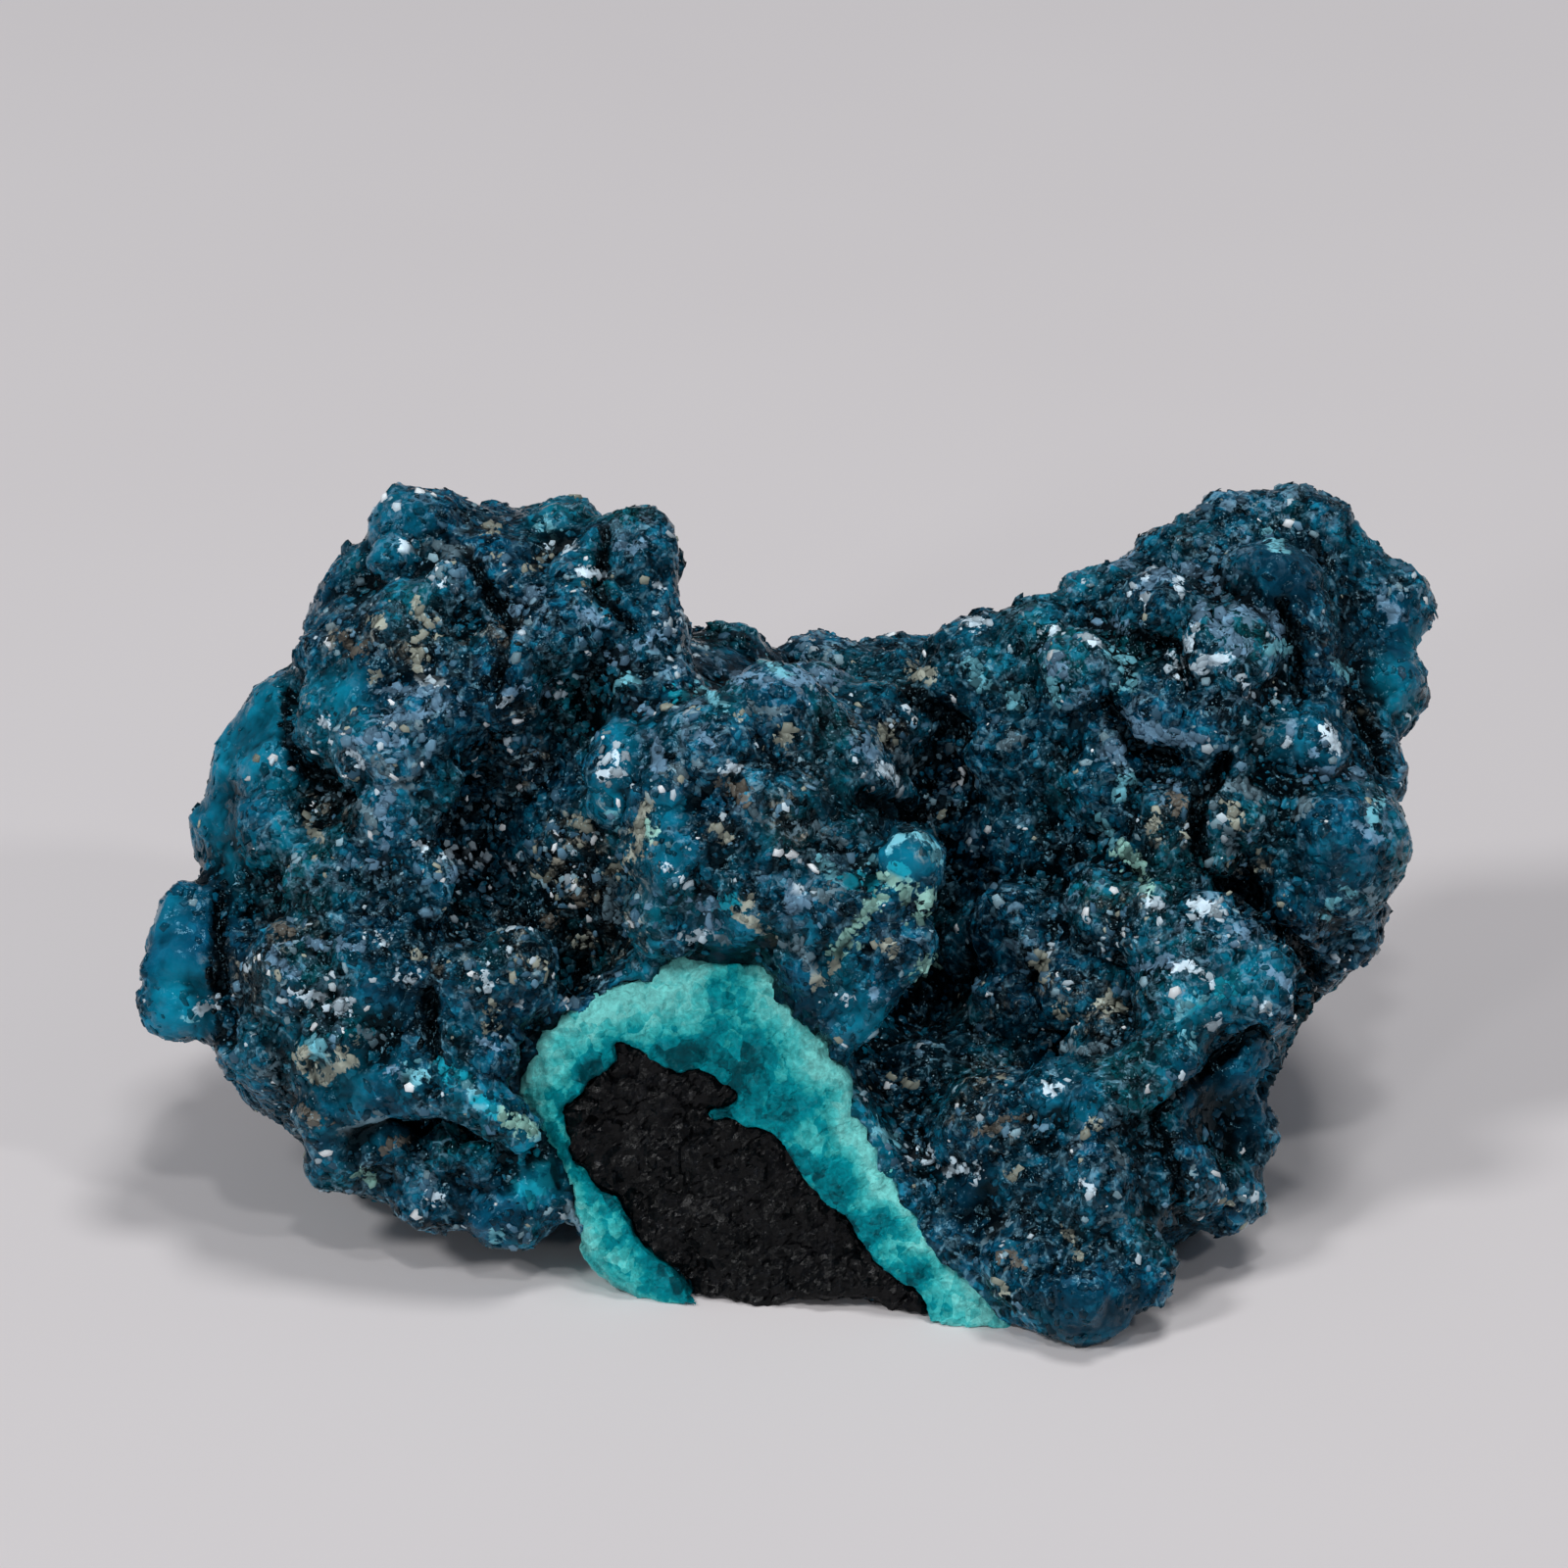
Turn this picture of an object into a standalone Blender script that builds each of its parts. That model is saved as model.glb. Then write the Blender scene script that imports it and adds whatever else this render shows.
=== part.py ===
# Malachite pseudomorph after chrysocolla: one loose crust of blue botryoidal druse, 37 mm long.
# Lumps sit on a display plane that leans back, as the specimen is seen: across, up and out in millimetres.
import math
import random

import bmesh
import bpy
from mathutils import Matrix, Vector

# Driving dimensions
MM = 0.001
LEAN_DEG = 25.0  # how far the display plane leans back from upright
VOXEL = 0.42 * MM  # grain of the fused surface
TRIANGLES = 8800  # of the fused surface, before the flat cuts
BREAK_OUT = 0.3 * MM  # the broken face, ahead of the foot of the display plane
BREAK_TURN_DEG = 8.0  # its right side comes forward
BREAK_TIP_DEG = 2.0  # its top comes forward
BREAK_MARGIN = 0.35 * MM  # the break takes this much more than the stub all round
STUB_DEPTH = 7.0 * MM  # how far the broken stub runs back into the masses
STUB_EXCESS = 1.0 * MM  # what the break takes off the stub
BACK_DOME_TRIES = 900
BACK_DOME_RADII = (1.1 * MM, 2.1 * MM)
BACK_DOME_SPACING = 0.75  # of the two radii added up
BACK_CLEARANCE = 1.2 * MM  # the back stays bare this far above the foot
BACK_FACING = 0.2  # least cosine between a back face and the way the back looks
BACK_DOME_SINK = 0.45  # of its radius, that a back dome's centre lies under the surface
BACK_SEED = 11
GROUND_SIDE = 60.0 * MM  # of the block that cuts the foot flat
WELD = 0.01 * MM

# Stout masses under the crust: centre (across, up, out), half sizes (across, up, out)
MASSES = [
    ((-8.7, 17.9, -6.4), (5.2, 4.9, 5.4)),
    ((-12.2, 13.2, -6.8), (4.4, 5.6, 5.2)),
    ((-11.2, 8.2, -5.0), (5.6, 4.2, 5.0)),
    ((-4.0, 13.4, -7.4), (5.6, 5.9, 6.4)),
    ((-0.6, 12.6, -4.6), (4.4, 5.2, 5.4)),
    ((-1.4, 5.0, -6.4), (5.8, 5.8, 5.6)),
    ((3.6, 3.6, -5.4), (4.6, 4.0, 5.0)),
    ((5.8, 10.2, -10.2), (7.0, 7.4, 5.4)),
    ((12.7, 17.1, -9.0), (4.9, 5.2, 5.6)),
    ((13.3, 12.6, -7.8), (4.1, 4.9, 5.4)),
    ((8.9, 4.8, -4.2), (3.8, 4.3, 5.4)),
    ((12.4, 8.8, -8.0), (2.4, 3.4, 4.6)),
    ((-9.8, 4.8, -4.8), (4.4, 2.4, 3.6)),
    ((2.0, 14.9, -11.8), (6.4, 3.9, 4.0)),
    ((4.6, 14.6, -8.4), (4.2, 3.4, 3.2)),
    ((1.0, 6.8, -12.2), (8.0, 6.0, 5.2)),
]

# Hollows between the lumps, cut before the small domes grow on their walls
HOLLOWS = [
    ((-6.6, 11.8, 0.4), (2.5, 2.6, 2.9)),
    ((-7.6, 14.8, 0.8), (1.8, 2.4, 2.6)),
    ((4.4, 9.6, -2.0), (2.0, 4.2, 3.8)),
    ((7.2, 9.6, -1.2), (3.2, 4.4, 3.6)),
    ((4.6, 14.4, -2.6), (2.0, 2.4, 2.4)),
    ((-9.8, 4.7, 1.2), (2.4, 0.5, 2.2)),
    ((-13.7, 14.6, -0.2), (0.5, 1.4, 1.8)),
]

# Domes that show on the front: centre (across, up, out) and radius
DOMES = [
    # upper left lobe
    (-10.3, 21.3, -4.4, 1.85), (-12.0, 20.0, -4.8, 1.65), (-6.7, 21.5, -4.2, 1.2), (-4.75, 20.8, -3.0, 1.7),
    (-8.4, 20.4, -2.8, 1.6), (-10.6, 19.0, -2.2, 1.6), (-6.4, 19.0, -1.7, 1.5), (-8.2, 17.8, -1.2, 1.5),
    (-12.7, 18.4, -3.0, 1.4), (-4.2, 18.9, -2.4, 1.5), (-11.6, 17.2, -1.8, 1.2), (-13.0, 19.0, -5.2, 1.3),
    # left rim
    (-14.4, 16.5, -4.6, 1.5), (-15.4, 15.1, -4.8, 1.5), (-16.0, 13.1, -4.6, 1.4), (-12.9, 16.6, -2.4, 1.3),
    (-14.6, 13.4, -2.6, 1.2), (-15.8, 11.4, -4.2, 1.4), (-14.6, 15.2, -3.2, 1.0),
    # left ridge
    (-11.2, 15.8, -1.2, 1.5), (-9.8, 16.8, -0.8, 1.2), (-11.4, 13.6, -0.8, 1.2), (-12.6, 12.0, -1.2, 1.5),
    (-9.9, 14.6, -0.7, 0.9), (-10.4, 12.0, -0.6, 1.1),
    # far left lobe
    (-17.1, 10.4, -3.6, 1.4), (-17.1, 8.7, -3.2, 1.35), (-15.8, 9.4, -2.6, 1.2),
    # lower left slope
    (-13.8, 9.4, -0.8, 1.5), (-11.6, 9.6, -0.1, 1.4), (-9.3, 8.9, 0.1, 1.3), (-14.9, 7.3, -1.8, 1.4),
    (-12.6, 7.1, -0.4, 1.3), (-10.0, 7.0, 0.2, 1.2), (-7.6, 9.6, 0.0, 1.1), (-8.4, 7.2, 0.3, 1.0),
    # arched shell and the ledges under it
    (-13.2, 5.3, -0.6, 0.9), (-11.8, 5.8, 0.1, 0.8), (-10.4, 6.0, 0.6, 0.8), (-9.0, 5.7, 0.8, 0.8),
    (-7.9, 5.0, 0.7, 0.8), (-12.6, 4.4, -1.8, 1.3), (-10.2, 3.4, -1.5, 1.4), (-7.9, 3.0, -1.0, 1.3),
    (-6.6, 4.0, -0.6, 1.1),
    # central lobe with its overhanging right lip
    (-3.8, 17.0, -1.4, 1.5), (-4.5, 15.3, -0.2, 1.4), (-2.4, 15.6, 0.3, 1.6), (-0.4, 16.4, -0.6, 1.7),
    (1.4, 15.2, -0.8, 1.5), (-0.6, 13.8, 0.9, 1.5), (-3.0, 13.0, 0.6, 1.6), (1.2, 13.4, 0.2, 1.3),
    (-1.2, 11.6, 0.9, 1.4), (1.0, 11.2, 1.0, 1.3), (-3.5, 11.0, 0.4, 1.2), (2.6, 11.4, 1.0, 1.1),
    (3.3, 12.45, 1.3, 0.95), (3.0, 10.1, 1.0, 1.05), (2.3, 9.0, 0.9, 1.1), (1.7, 8.1, 0.7, 0.95),
    (0.6, 9.8, 0.8, 1.1),
    # saddle and back rim
    (-2.0, 17.8, -7.6, 1.8), (0.8, 17.2, -9.4, 1.9), (3.2, 17.0, -8.6, 1.6), (2.6, 16.4, -4.6, 1.4),
    # right upper cluster
    (5.4, 18.0, -5.4, 1.7), (7.4, 18.4, -5.0, 1.6), (9.3, 19.8, -6.0, 1.5), (11.4, 21.0, -7.0, 1.5),
    (13.0, 21.9, -7.2, 1.45), (15.0, 22.0, -7.4, 1.35), (16.2, 20.6, -7.6, 1.5), (17.2, 20.0, -7.6, 1.5),
    (16.9, 17.3, -6.8, 1.6),
    (14.3, 19.2, -4.6, 1.5), (12.5, 18.4, -3.6, 1.5), (10.6, 19.2, -4.2, 1.4), (8.6, 17.4, -3.6, 1.4),
    (10.4, 16.8, -3.2, 1.4), (12.2, 16.2, -3.0, 1.3), (6.4, 15.6, -4.4, 1.4), (9.0, 14.8, -3.6, 1.4),
    (14.4, 15.8, -3.4, 1.3), (16.4, 15.2, -5.2, 1.4), (15.6, 12.9, -3.4, 2.0), (12.6, 13.8, -2.8, 1.2),
    (10.8, 13.4, -2.6, 1.3), (15.6, 10.6, -5.4, 1.6), (13.9, 11.0, -3.2, 1.4), (15.0, 17.6, -4.6, 1.2),
    # right lower lobes
    (12.0, 10.2, -0.8, 1.5), (13.0, 8.8, -0.4, 1.35), (11.0, 8.6, -0.4, 1.4), (10.4, 10.6, -1.6, 1.3),
    (10.2, 6.6, 0.2, 1.3), (12.4, 6.6, -1.8, 1.4), (12.7, 4.8, -2.0, 1.2), (12.3, 3.1, -1.6, 1.2),
    (10.6, 3.8, 0.2, 1.4), (9.4, 1.4, 1.4, 1.3), (8.2, 0.4, 1.8, 1.5), (6.8, 1.2, 1.2, 1.4),
    (8.4, 3.6, 1.4, 1.4), (6.6, 3.8, 0.6, 1.2), (5.2, 3.9, -0.6, 1.3), (5.6, 2.4, -0.4, 1.3),
    (8.4, 5.8, 0.2, 1.3),
    # floor of the right hollow
    (5.8, 10.4, -5.2, 1.7), (7.6, 7.4, -4.0, 1.5), (8.8, 11.8, -3.8, 1.4), (5.6, 7.4, -5.0, 1.4),
    (3.8, 6.4, -2.4, 1.1), (6.6, 13.0, -5.0, 1.5),
]

# A chip out of the foot of the broken face, where it meets the surface it stands on
CHIP = ((1.1, -0.8, 1.2), (2.7, 1.25, 3.0))

# Outline of the broken stub on the display plane, clockwise from its left foot
STUB = [
    (-2.6, -2.0), (-4.2, 0.1), (-5.4, 1.1), (-6.2, 2.6), (-6.9, 4.2), (-7.9, 5.8), (-7.4, 7.4), (-6.4, 8.5),
    (-5.4, 9.1), (-4.4, 10.0), (-3.1, 10.1), (-2.1, 9.5), (-1.0, 9.7), (-0.4, 9.0), (0.4, 8.0), (1.7, 6.4),
    (3.0, 4.1), (4.5, 1.9), (6.4, -0.2), (7.4, -2.4),
]


def display_frame():
    # columns are the display plane's across, up and out directions
    return Matrix.Rotation(math.radians(90 - LEAN_DEG), 4, "X")


def break_frame():
    turn = Matrix.Rotation(math.radians(-BREAK_TURN_DEG), 4, "Y")
    tip = Matrix.Rotation(math.radians(BREAK_TIP_DEG), 4, "X")
    return display_frame() @ Matrix.Translation((0, 0, BREAK_OUT)) @ turn @ tip


def put_in(piece, group):
    for old in list(piece.users_collection):
        old.objects.unlink(piece)
    group.objects.link(piece)
    return piece


def pick(piece):
    bpy.ops.object.select_all(action="DESELECT")
    piece.select_set(True)
    bpy.context.view_layer.objects.active = piece


def apply_modifier(piece, kind, **settings):
    modifier = piece.modifiers.new(kind.lower(), kind)
    for name, value in settings.items():
        setattr(modifier, name, value)
    pick(piece)
    bpy.ops.object.modifier_apply(modifier=modifier.name)
    return piece


def ball(name, place, halves, turn, group):
    bpy.ops.mesh.primitive_ico_sphere_add(subdivisions=3, radius=1, location=place, rotation=turn)
    piece = put_in(bpy.context.object, group)
    piece.name = name
    piece.scale = halves
    return piece


def lump(name, centre, halves, group):
    # an ellipsoid whose axes follow the display plane
    frame = display_frame()
    return ball(name, frame @ (MM * Vector(centre)), MM * Vector(halves), frame.to_euler(), group)


def joined(name, pieces):
    bpy.ops.object.select_all(action="DESELECT")
    for piece in pieces:
        piece.select_set(True)
    bpy.context.view_layer.objects.active = pieces[0]
    bpy.ops.object.transform_apply(location=True, rotation=True, scale=True)
    bpy.ops.object.join()
    whole = bpy.context.object
    whole.name = name
    return whole


def fused(piece):
    return apply_modifier(piece, "REMESH", mode="VOXEL", voxel_size=VOXEL)


def cut_away(piece, cutter):
    apply_modifier(piece, "BOOLEAN", operation="DIFFERENCE", solver="EXACT", object=cutter)
    cutter.hide_render = True
    cutter.display_type = "WIRE"


def slice_of_stub(name, near, far, wider, group):
    # the stub's outline, a little wider, as a closed slice between two distances from the broken face
    outline = bpy.data.curves.new(name, "CURVE")
    outline.dimensions = "2D"
    outline.fill_mode = "BOTH"
    outline.extrude = (far - near) / 2
    outline.offset = wider
    spline = outline.splines.new("POLY")
    spline.points.add(len(STUB) - 1)
    for point, (across, up) in zip(spline.points, STUB):
        point.co = (across * MM, up * MM, 0, 1)
    spline.use_cyclic_u = True
    flat = put_in(bpy.data.objects.new(name, outline), group)
    flat.matrix_world = break_frame() @ Matrix.Translation((0, 0, (near + far) / 2))
    bpy.context.view_layer.update()

    solid = bpy.data.meshes.new_from_object(flat.evaluated_get(bpy.context.evaluated_depsgraph_get()))
    surface = bmesh.new()
    surface.from_mesh(solid)
    bmesh.ops.remove_doubles(surface, verts=surface.verts, dist=WELD)
    bmesh.ops.recalc_face_normals(surface, faces=surface.faces)
    surface.to_mesh(solid)
    surface.free()
    piece = put_in(bpy.data.objects.new(name, solid), group)
    piece.matrix_world = flat.matrix_world
    bpy.data.objects.remove(flat, do_unlink=True)
    return piece


def back_domes(body, group):
    # domes over the faces that look away from the display side, none on top of another
    rng = random.Random(BACK_SEED)
    away = -(display_frame().col[2].to_3d())
    faces = [face for face in body.data.polygons if face.center.z > BACK_CLEARANCE]
    faces = [face for face in faces if face.normal.dot(away) > BACK_FACING]
    domes = []
    for _ in range(BACK_DOME_TRIES):
        face = faces[rng.randrange(len(faces))]
        radius = rng.uniform(*BACK_DOME_RADII)
        centre = face.center - BACK_DOME_SINK * radius * face.normal
        if all((centre - other).length > BACK_DOME_SPACING * (radius + size) for other, size in domes):
            domes.append((centre, radius))
    return [ball("back_dome", centre, (radius,) * 3, (0, 0, 0), group) for centre, radius in domes]


def specimen(parts, cutters):
    masses = [lump("mass", centre, halves, parts) for centre, halves in MASSES]
    body = fused(joined("specimen", masses))
    hollows = [lump("hollow", centre, halves, cutters) for centre, halves in HOLLOWS]
    cut_away(body, fused(joined("hollows", hollows)))

    stub = slice_of_stub("stub", -STUB_DEPTH, STUB_EXCESS, 0, parts)
    domes = [lump("dome", (across, up, out), (size,) * 3, parts) for across, up, out, size in DOMES]
    body = fused(joined("specimen", [body, stub] + domes + back_domes(body, parts)))
    apply_modifier(body, "DECIMATE", ratio=TRIANGLES / triangle_count(body))

    cut_away(body, slice_of_stub("break_face", 0, STUB_DEPTH, BREAK_MARGIN, cutters))
    cut_away(body, lump("chip", *CHIP, cutters))
    bpy.ops.mesh.primitive_cube_add(size=GROUND_SIDE, location=(0, 0, -GROUND_SIDE / 2))
    ground = put_in(bpy.context.object, cutters)
    ground.name = "ground"
    cut_away(body, ground)
    return body


def triangle_count(piece):
    return sum(len(face.vertices) - 2 for face in piece.data.polygons)


def stand_on_origin(piece):
    corners = [vertex.co for vertex in piece.data.vertices]
    low = Vector([min(corner[i] for corner in corners) for i in range(3)])
    high = Vector([max(corner[i] for corner in corners) for i in range(3)])
    shift = Vector((-(low.x + high.x) / 2, -(low.y + high.y) / 2, -low.z))
    piece.data.transform(Matrix.Translation(shift))
    print("size mm", [round(side / MM, 2) for side in high - low])
    print("shift mm", [round(step / MM, 2) for step in shift], "triangles", triangle_count(piece))
    return shift


def blue_druse():
    druse = bpy.data.materials.new("blue_druse")
    druse.use_nodes = True
    shader = druse.node_tree.nodes["Principled BSDF"]
    shader.inputs["Base Color"].default_value = (0.010, 0.085, 0.140, 1)
    shader.inputs["Roughness"].default_value = 0.35
    shader.inputs["Metallic"].default_value = 0.0
    return druse


for leftover in list(bpy.data.objects):
    bpy.data.objects.remove(leftover, do_unlink=True)
part_group = bpy.data.collections.new("malachite_pseudomorph")
cutter_group = bpy.data.collections.new("cutters")
bpy.context.scene.collection.children.link(part_group)
bpy.context.scene.collection.children.link(cutter_group)

stone = specimen(part_group, cutter_group)
moved = stand_on_origin(stone)
stone.data.materials.clear()
stone.data.materials.append(blue_druse())
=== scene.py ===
import math

import bmesh
import bpy
import numpy as np
from mathutils import Matrix, Vector, noise
from mathutils.bvhtree import BVHTree


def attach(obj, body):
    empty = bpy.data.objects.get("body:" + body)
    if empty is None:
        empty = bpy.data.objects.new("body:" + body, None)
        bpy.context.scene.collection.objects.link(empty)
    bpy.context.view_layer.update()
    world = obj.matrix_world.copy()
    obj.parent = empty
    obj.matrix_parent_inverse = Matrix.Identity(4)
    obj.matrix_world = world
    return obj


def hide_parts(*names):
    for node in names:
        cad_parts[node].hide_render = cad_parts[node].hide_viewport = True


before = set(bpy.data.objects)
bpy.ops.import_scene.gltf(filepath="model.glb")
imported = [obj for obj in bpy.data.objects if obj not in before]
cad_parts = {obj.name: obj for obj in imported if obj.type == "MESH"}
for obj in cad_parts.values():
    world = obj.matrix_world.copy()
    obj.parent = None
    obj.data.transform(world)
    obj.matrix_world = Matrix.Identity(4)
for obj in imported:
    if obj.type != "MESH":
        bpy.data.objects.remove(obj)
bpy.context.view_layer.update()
mm = 0.001
noise.seed_set(4)  # without it, noise_vector gives other values each time

# The display plane leans back from upright. Places on it are across, up and out in mm, as seen from the eye.
display = {
    "lean": 25.0,  # degrees from upright
    "foot": (-0.10, -9.28),  # where its origin stands on the floor, in mm
    "aim": (-0.19, 14.7),  # the point in the middle of the view
    "eyeDistance": 196.0,  # the nearest a phone focuses
    "viewWidth": 44.0,  # mm of the display plane across the picture
}


def displayFrame():
    x, y = display["foot"]
    return Matrix.Translation((x * mm, y * mm, 0)) @ Matrix.Rotation(math.radians(90 - display["lean"]), 4, "X")


def onPlane(across, up, out=0.0):
    return displayFrame() @ (mm * Vector((across, up, out)))


eye = onPlane(*display["aim"], display["eyeDistance"])


def asSeen(places):
    # across and up in mm, as the eye sees these places against the display plane, and how far out they are
    turn = np.array(displayFrame().to_3x3())
    local = (places - np.array(onPlane(0, 0))) @ turn / mm
    reach = display["eyeDistance"] / (display["eyeDistance"] - local[:, 2])
    aim = np.array(display["aim"])
    return aim + (local[:, :2] - aim) * reach[:, None], local[:, 2]


def linear(shade):
    # an sRGB hex colour, or a grey, to the linear colour that shaders take
    if not isinstance(shade, str):
        return (shade, shade, shade, 1.0)
    parts = [int(shade[i:i + 2], 16) / 255 for i in (1, 3, 5)]
    return tuple(c / 12.92 if c <= 0.04045 else ((c + 0.055) / 1.055) ** 2.4 for c in parts) + (1.0,)


def addNode(tree, kind, settings=None, links=None):
    # one node, with its settings or socket values, and what is plugged into it
    made = tree.nodes.new(kind)
    for name, value in (settings or {}).items():
        if name == "stops":
            bar = made.color_ramp.elements
            while len(bar) < len(value):
                bar.new(1.0)
            for stop, (place, shade) in zip(bar, value):
                stop.position, stop.color = place, linear(shade)
        elif isinstance(name, str) and hasattr(made, name):
            setattr(made, name, value)
        else:
            made.inputs[name].default_value = linear(value) if isinstance(value, str) else value
    for name, source in (links or {}).items():
        tree.links.new(source, made.inputs[name])
    return made


def startMaterial(name):
    made = bpy.data.materials.new(name)
    made.use_nodes = True
    tree = made.node_tree
    place = addNode(tree, "ShaderNodeTexCoord").outputs["Object"]
    return made, tree, tree.nodes["Principled BSDF"], place


def asPiece(name, mesh, material):
    piece = bpy.data.objects.new(name, mesh)
    bpy.context.scene.collection.objects.link(piece)
    mesh.materials.clear()
    mesh.materials.append(material)
    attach(piece, "root")
    return piece


def shapedBy(piece, kind, **settings):
    # one modifier, applied at once
    modifier = piece.modifiers.new(kind.lower(), kind)
    for name, value in settings.items():
        setattr(modifier, name, value)
    bpy.context.view_layer.objects.active = piece
    bpy.ops.object.select_all(action="DESELECT")
    piece.select_set(True)
    bpy.ops.object.modifier_apply(modifier=modifier.name)


def meshOf(shape, name):
    mesh = bpy.data.meshes.new(name)
    shape.to_mesh(mesh)
    shape.free()
    return mesh


def readMesh(items, name, width=3):
    found = np.empty(len(items) * width, np.float32)
    items.foreach_get(name, found)
    return found.reshape(-1, width).astype(float)


def setPlaces(mesh, places):
    mesh.vertices.foreach_set("co", places.astype(np.float32).ravel())
    mesh.update()


def smoothed(mesh, values, rounds):
    # each vertex takes the mean of itself and its neighbours, several times over
    edges = np.empty(len(mesh.edges) * 2, np.int32)
    mesh.edges.foreach_get("vertices", edges)
    first, second = edges.reshape(-1, 2).T
    count = np.bincount(first, minlength=len(values)) + np.bincount(second, minlength=len(values)) + 1.0
    for _ in range(rounds):
        total = values.copy()
        for column in range(values.shape[1]):
            total[:, column] += np.bincount(first, values[second, column], len(values))
            total[:, column] += np.bincount(second, values[first, column], len(values))
        values = total / count[:, None]
    return values


def paint(mesh, **layers):
    # a number or a colour for each vertex under each name, for the material to read
    for name, values in layers.items():
        values = np.asarray(values, np.float32)
        kind, field = ("FLOAT", "value") if values.ndim == 1 else ("FLOAT_VECTOR", "vector")
        layer = mesh.attributes.new(name=name, type=kind, domain="POINT")
        layer.data.foreach_set(field, values.ravel())


def surfaceSpots(mesh, count, random, chance=None):
    # places spread over a mesh by area, with the normal there and the nearest vertex
    mesh.calc_loop_triangles()
    corners = np.empty(len(mesh.loop_triangles) * 3, np.int32)
    mesh.loop_triangles.foreach_get("vertices", corners)
    corners = corners.reshape(-1, 3)
    a, b, c = (readMesh(mesh.vertices, "co")[corners[:, i]] for i in range(3))
    across = np.cross(b - a, c - a)
    area = np.linalg.norm(across, axis=1)
    share = area if chance is None else area * chance[corners].min(1)
    picked = random.choice(len(corners), count, p=share / share.sum())
    u, v = random.random((2, count))
    flip = u + v > 1
    u[flip], v[flip] = 1 - u[flip], 1 - v[flip]
    spots = a[picked] + u[:, None] * (b - a)[picked] + v[:, None] * (c - a)[picked]
    return spots, across[picked] / np.maximum(area[picked], 1e-18)[:, None], corners[picked, 0]


def tiled(name, shape, spots, axes, wide, tall, random, along=None, narrow=1.0, **layers):
    # one small shape at every spot, upright along its axis, as one mesh; sizes in mm
    pattern = meshOf(shape, "pattern")
    corners = readMesh(pattern.vertices, "co")
    sides = np.empty(len(pattern.polygons) * 3, np.int32)
    pattern.polygons.foreach_get("vertices", sides)
    bpy.data.meshes.remove(pattern)
    count = len(spots)
    second = np.cross(axes, random.normal(size=(count, 3)) if along is None else along)
    second /= np.maximum(np.linalg.norm(second, axis=1), 1e-9)[:, None]
    first = np.cross(second, axes)
    second *= np.broadcast_to(narrow, count)[:, None]
    wide, tall = wide[:, None, None] * mm, tall[:, None, None] * mm
    cloud = spots[:, None] + tall * corners[None, :, 2:] * axes[:, None]
    cloud += wide * (corners[None, :, :1] * first[:, None] + corners[None, :, 1:2] * second[:, None])
    faces = (sides.reshape(1, -1) + (np.arange(count) * len(corners))[:, None]).astype(np.int32).ravel()
    mesh = bpy.data.meshes.new(name)
    mesh.vertices.add(count * len(corners))
    mesh.vertices.foreach_set("co", cloud.astype(np.float32).ravel())
    mesh.loops.add(len(faces))
    mesh.loops.foreach_set("vertex_index", faces)
    mesh.polygons.add(len(faces) // 3)
    mesh.polygons.foreach_set("loop_start", np.arange(0, len(faces), 3, dtype=np.int32))
    mesh.update(calc_edges=True)
    paint(mesh, **{layer: np.repeat(values, len(corners), axis=0) for layer, values in layers.items()})
    return mesh


def inside(outline, places):
    # True for each place within the outline
    corners = np.array(outline)
    found = np.zeros(len(places), bool)
    for (x1, y1), (x2, y2) in zip(corners, np.roll(corners, -1, axis=0)):
        crosses = (y1 > places[:, 1]) != (y2 > places[:, 1])
        with np.errstate(divide="ignore", invalid="ignore"):
            found ^= crosses & (places[:, 0] < (x2 - x1) * (places[:, 1] - y1) / (y2 - y1) + x1)
    return found


def edgeDistance(outline, places):
    # how far each place is from the outline
    corners = np.array(outline)
    nearest = np.full(len(places), 1e9)
    for start, end in zip(corners, np.roll(corners, -1, axis=0)):
        along = np.clip(((places - start) @ (end - start)) / max(((end - start) ** 2).sum(), 1e-12), 0, 1)
        nearest = np.minimum(nearest, np.linalg.norm(places - start - along[:, None] * (end - start), axis=1))
    return nearest


def routeDistance(route, places):
    # how far each place is from an open route
    return edgeDistance(route + route[-2:0:-1], places)


def near(route, places, among):
    # the places within a millimetre of the box around a route
    low, high = np.min(route, axis=0) - 1, np.max(route, axis=0) + 1
    return np.flatnonzero(among & (places > low).all(1) & (places < high).all(1))


def swells(places, size, warp=0.0):
    # round tops about this many mm apart with creases between them: 1 on a top, 0 in a crease
    found = np.empty(len(places))
    for index, place in enumerate(places):
        spot = Vector(place) / (size * mm)
        if warp:
            spot += warp * noise.noise_vector(spot * 0.6)
        found[index] = 1 - min(noise.voronoi(spot)[0][0] / 0.75, 1) ** 2
    return found


def blocks(places, size):
    # flat-faced blocks about this many mm wide, each at its own height and tilt
    found = np.empty(len(places))
    for index, place in enumerate(places):
        spot = Vector(place) / (size * mm)
        spot += 0.25 * noise.noise_vector(spot * 1.7)
        centre = noise.voronoi(spot)[1][0]
        found[index] = noise.noise(centre * 5.1) + 1.1 * noise.noise_vector(centre * 7.3).dot(spot - centre)
    return found


def drift(places, size):
    # a soft change from -1 to 1 over about this many mm
    return np.array([noise.noise(Vector(place) / (size * mm)) for place in places])


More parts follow.
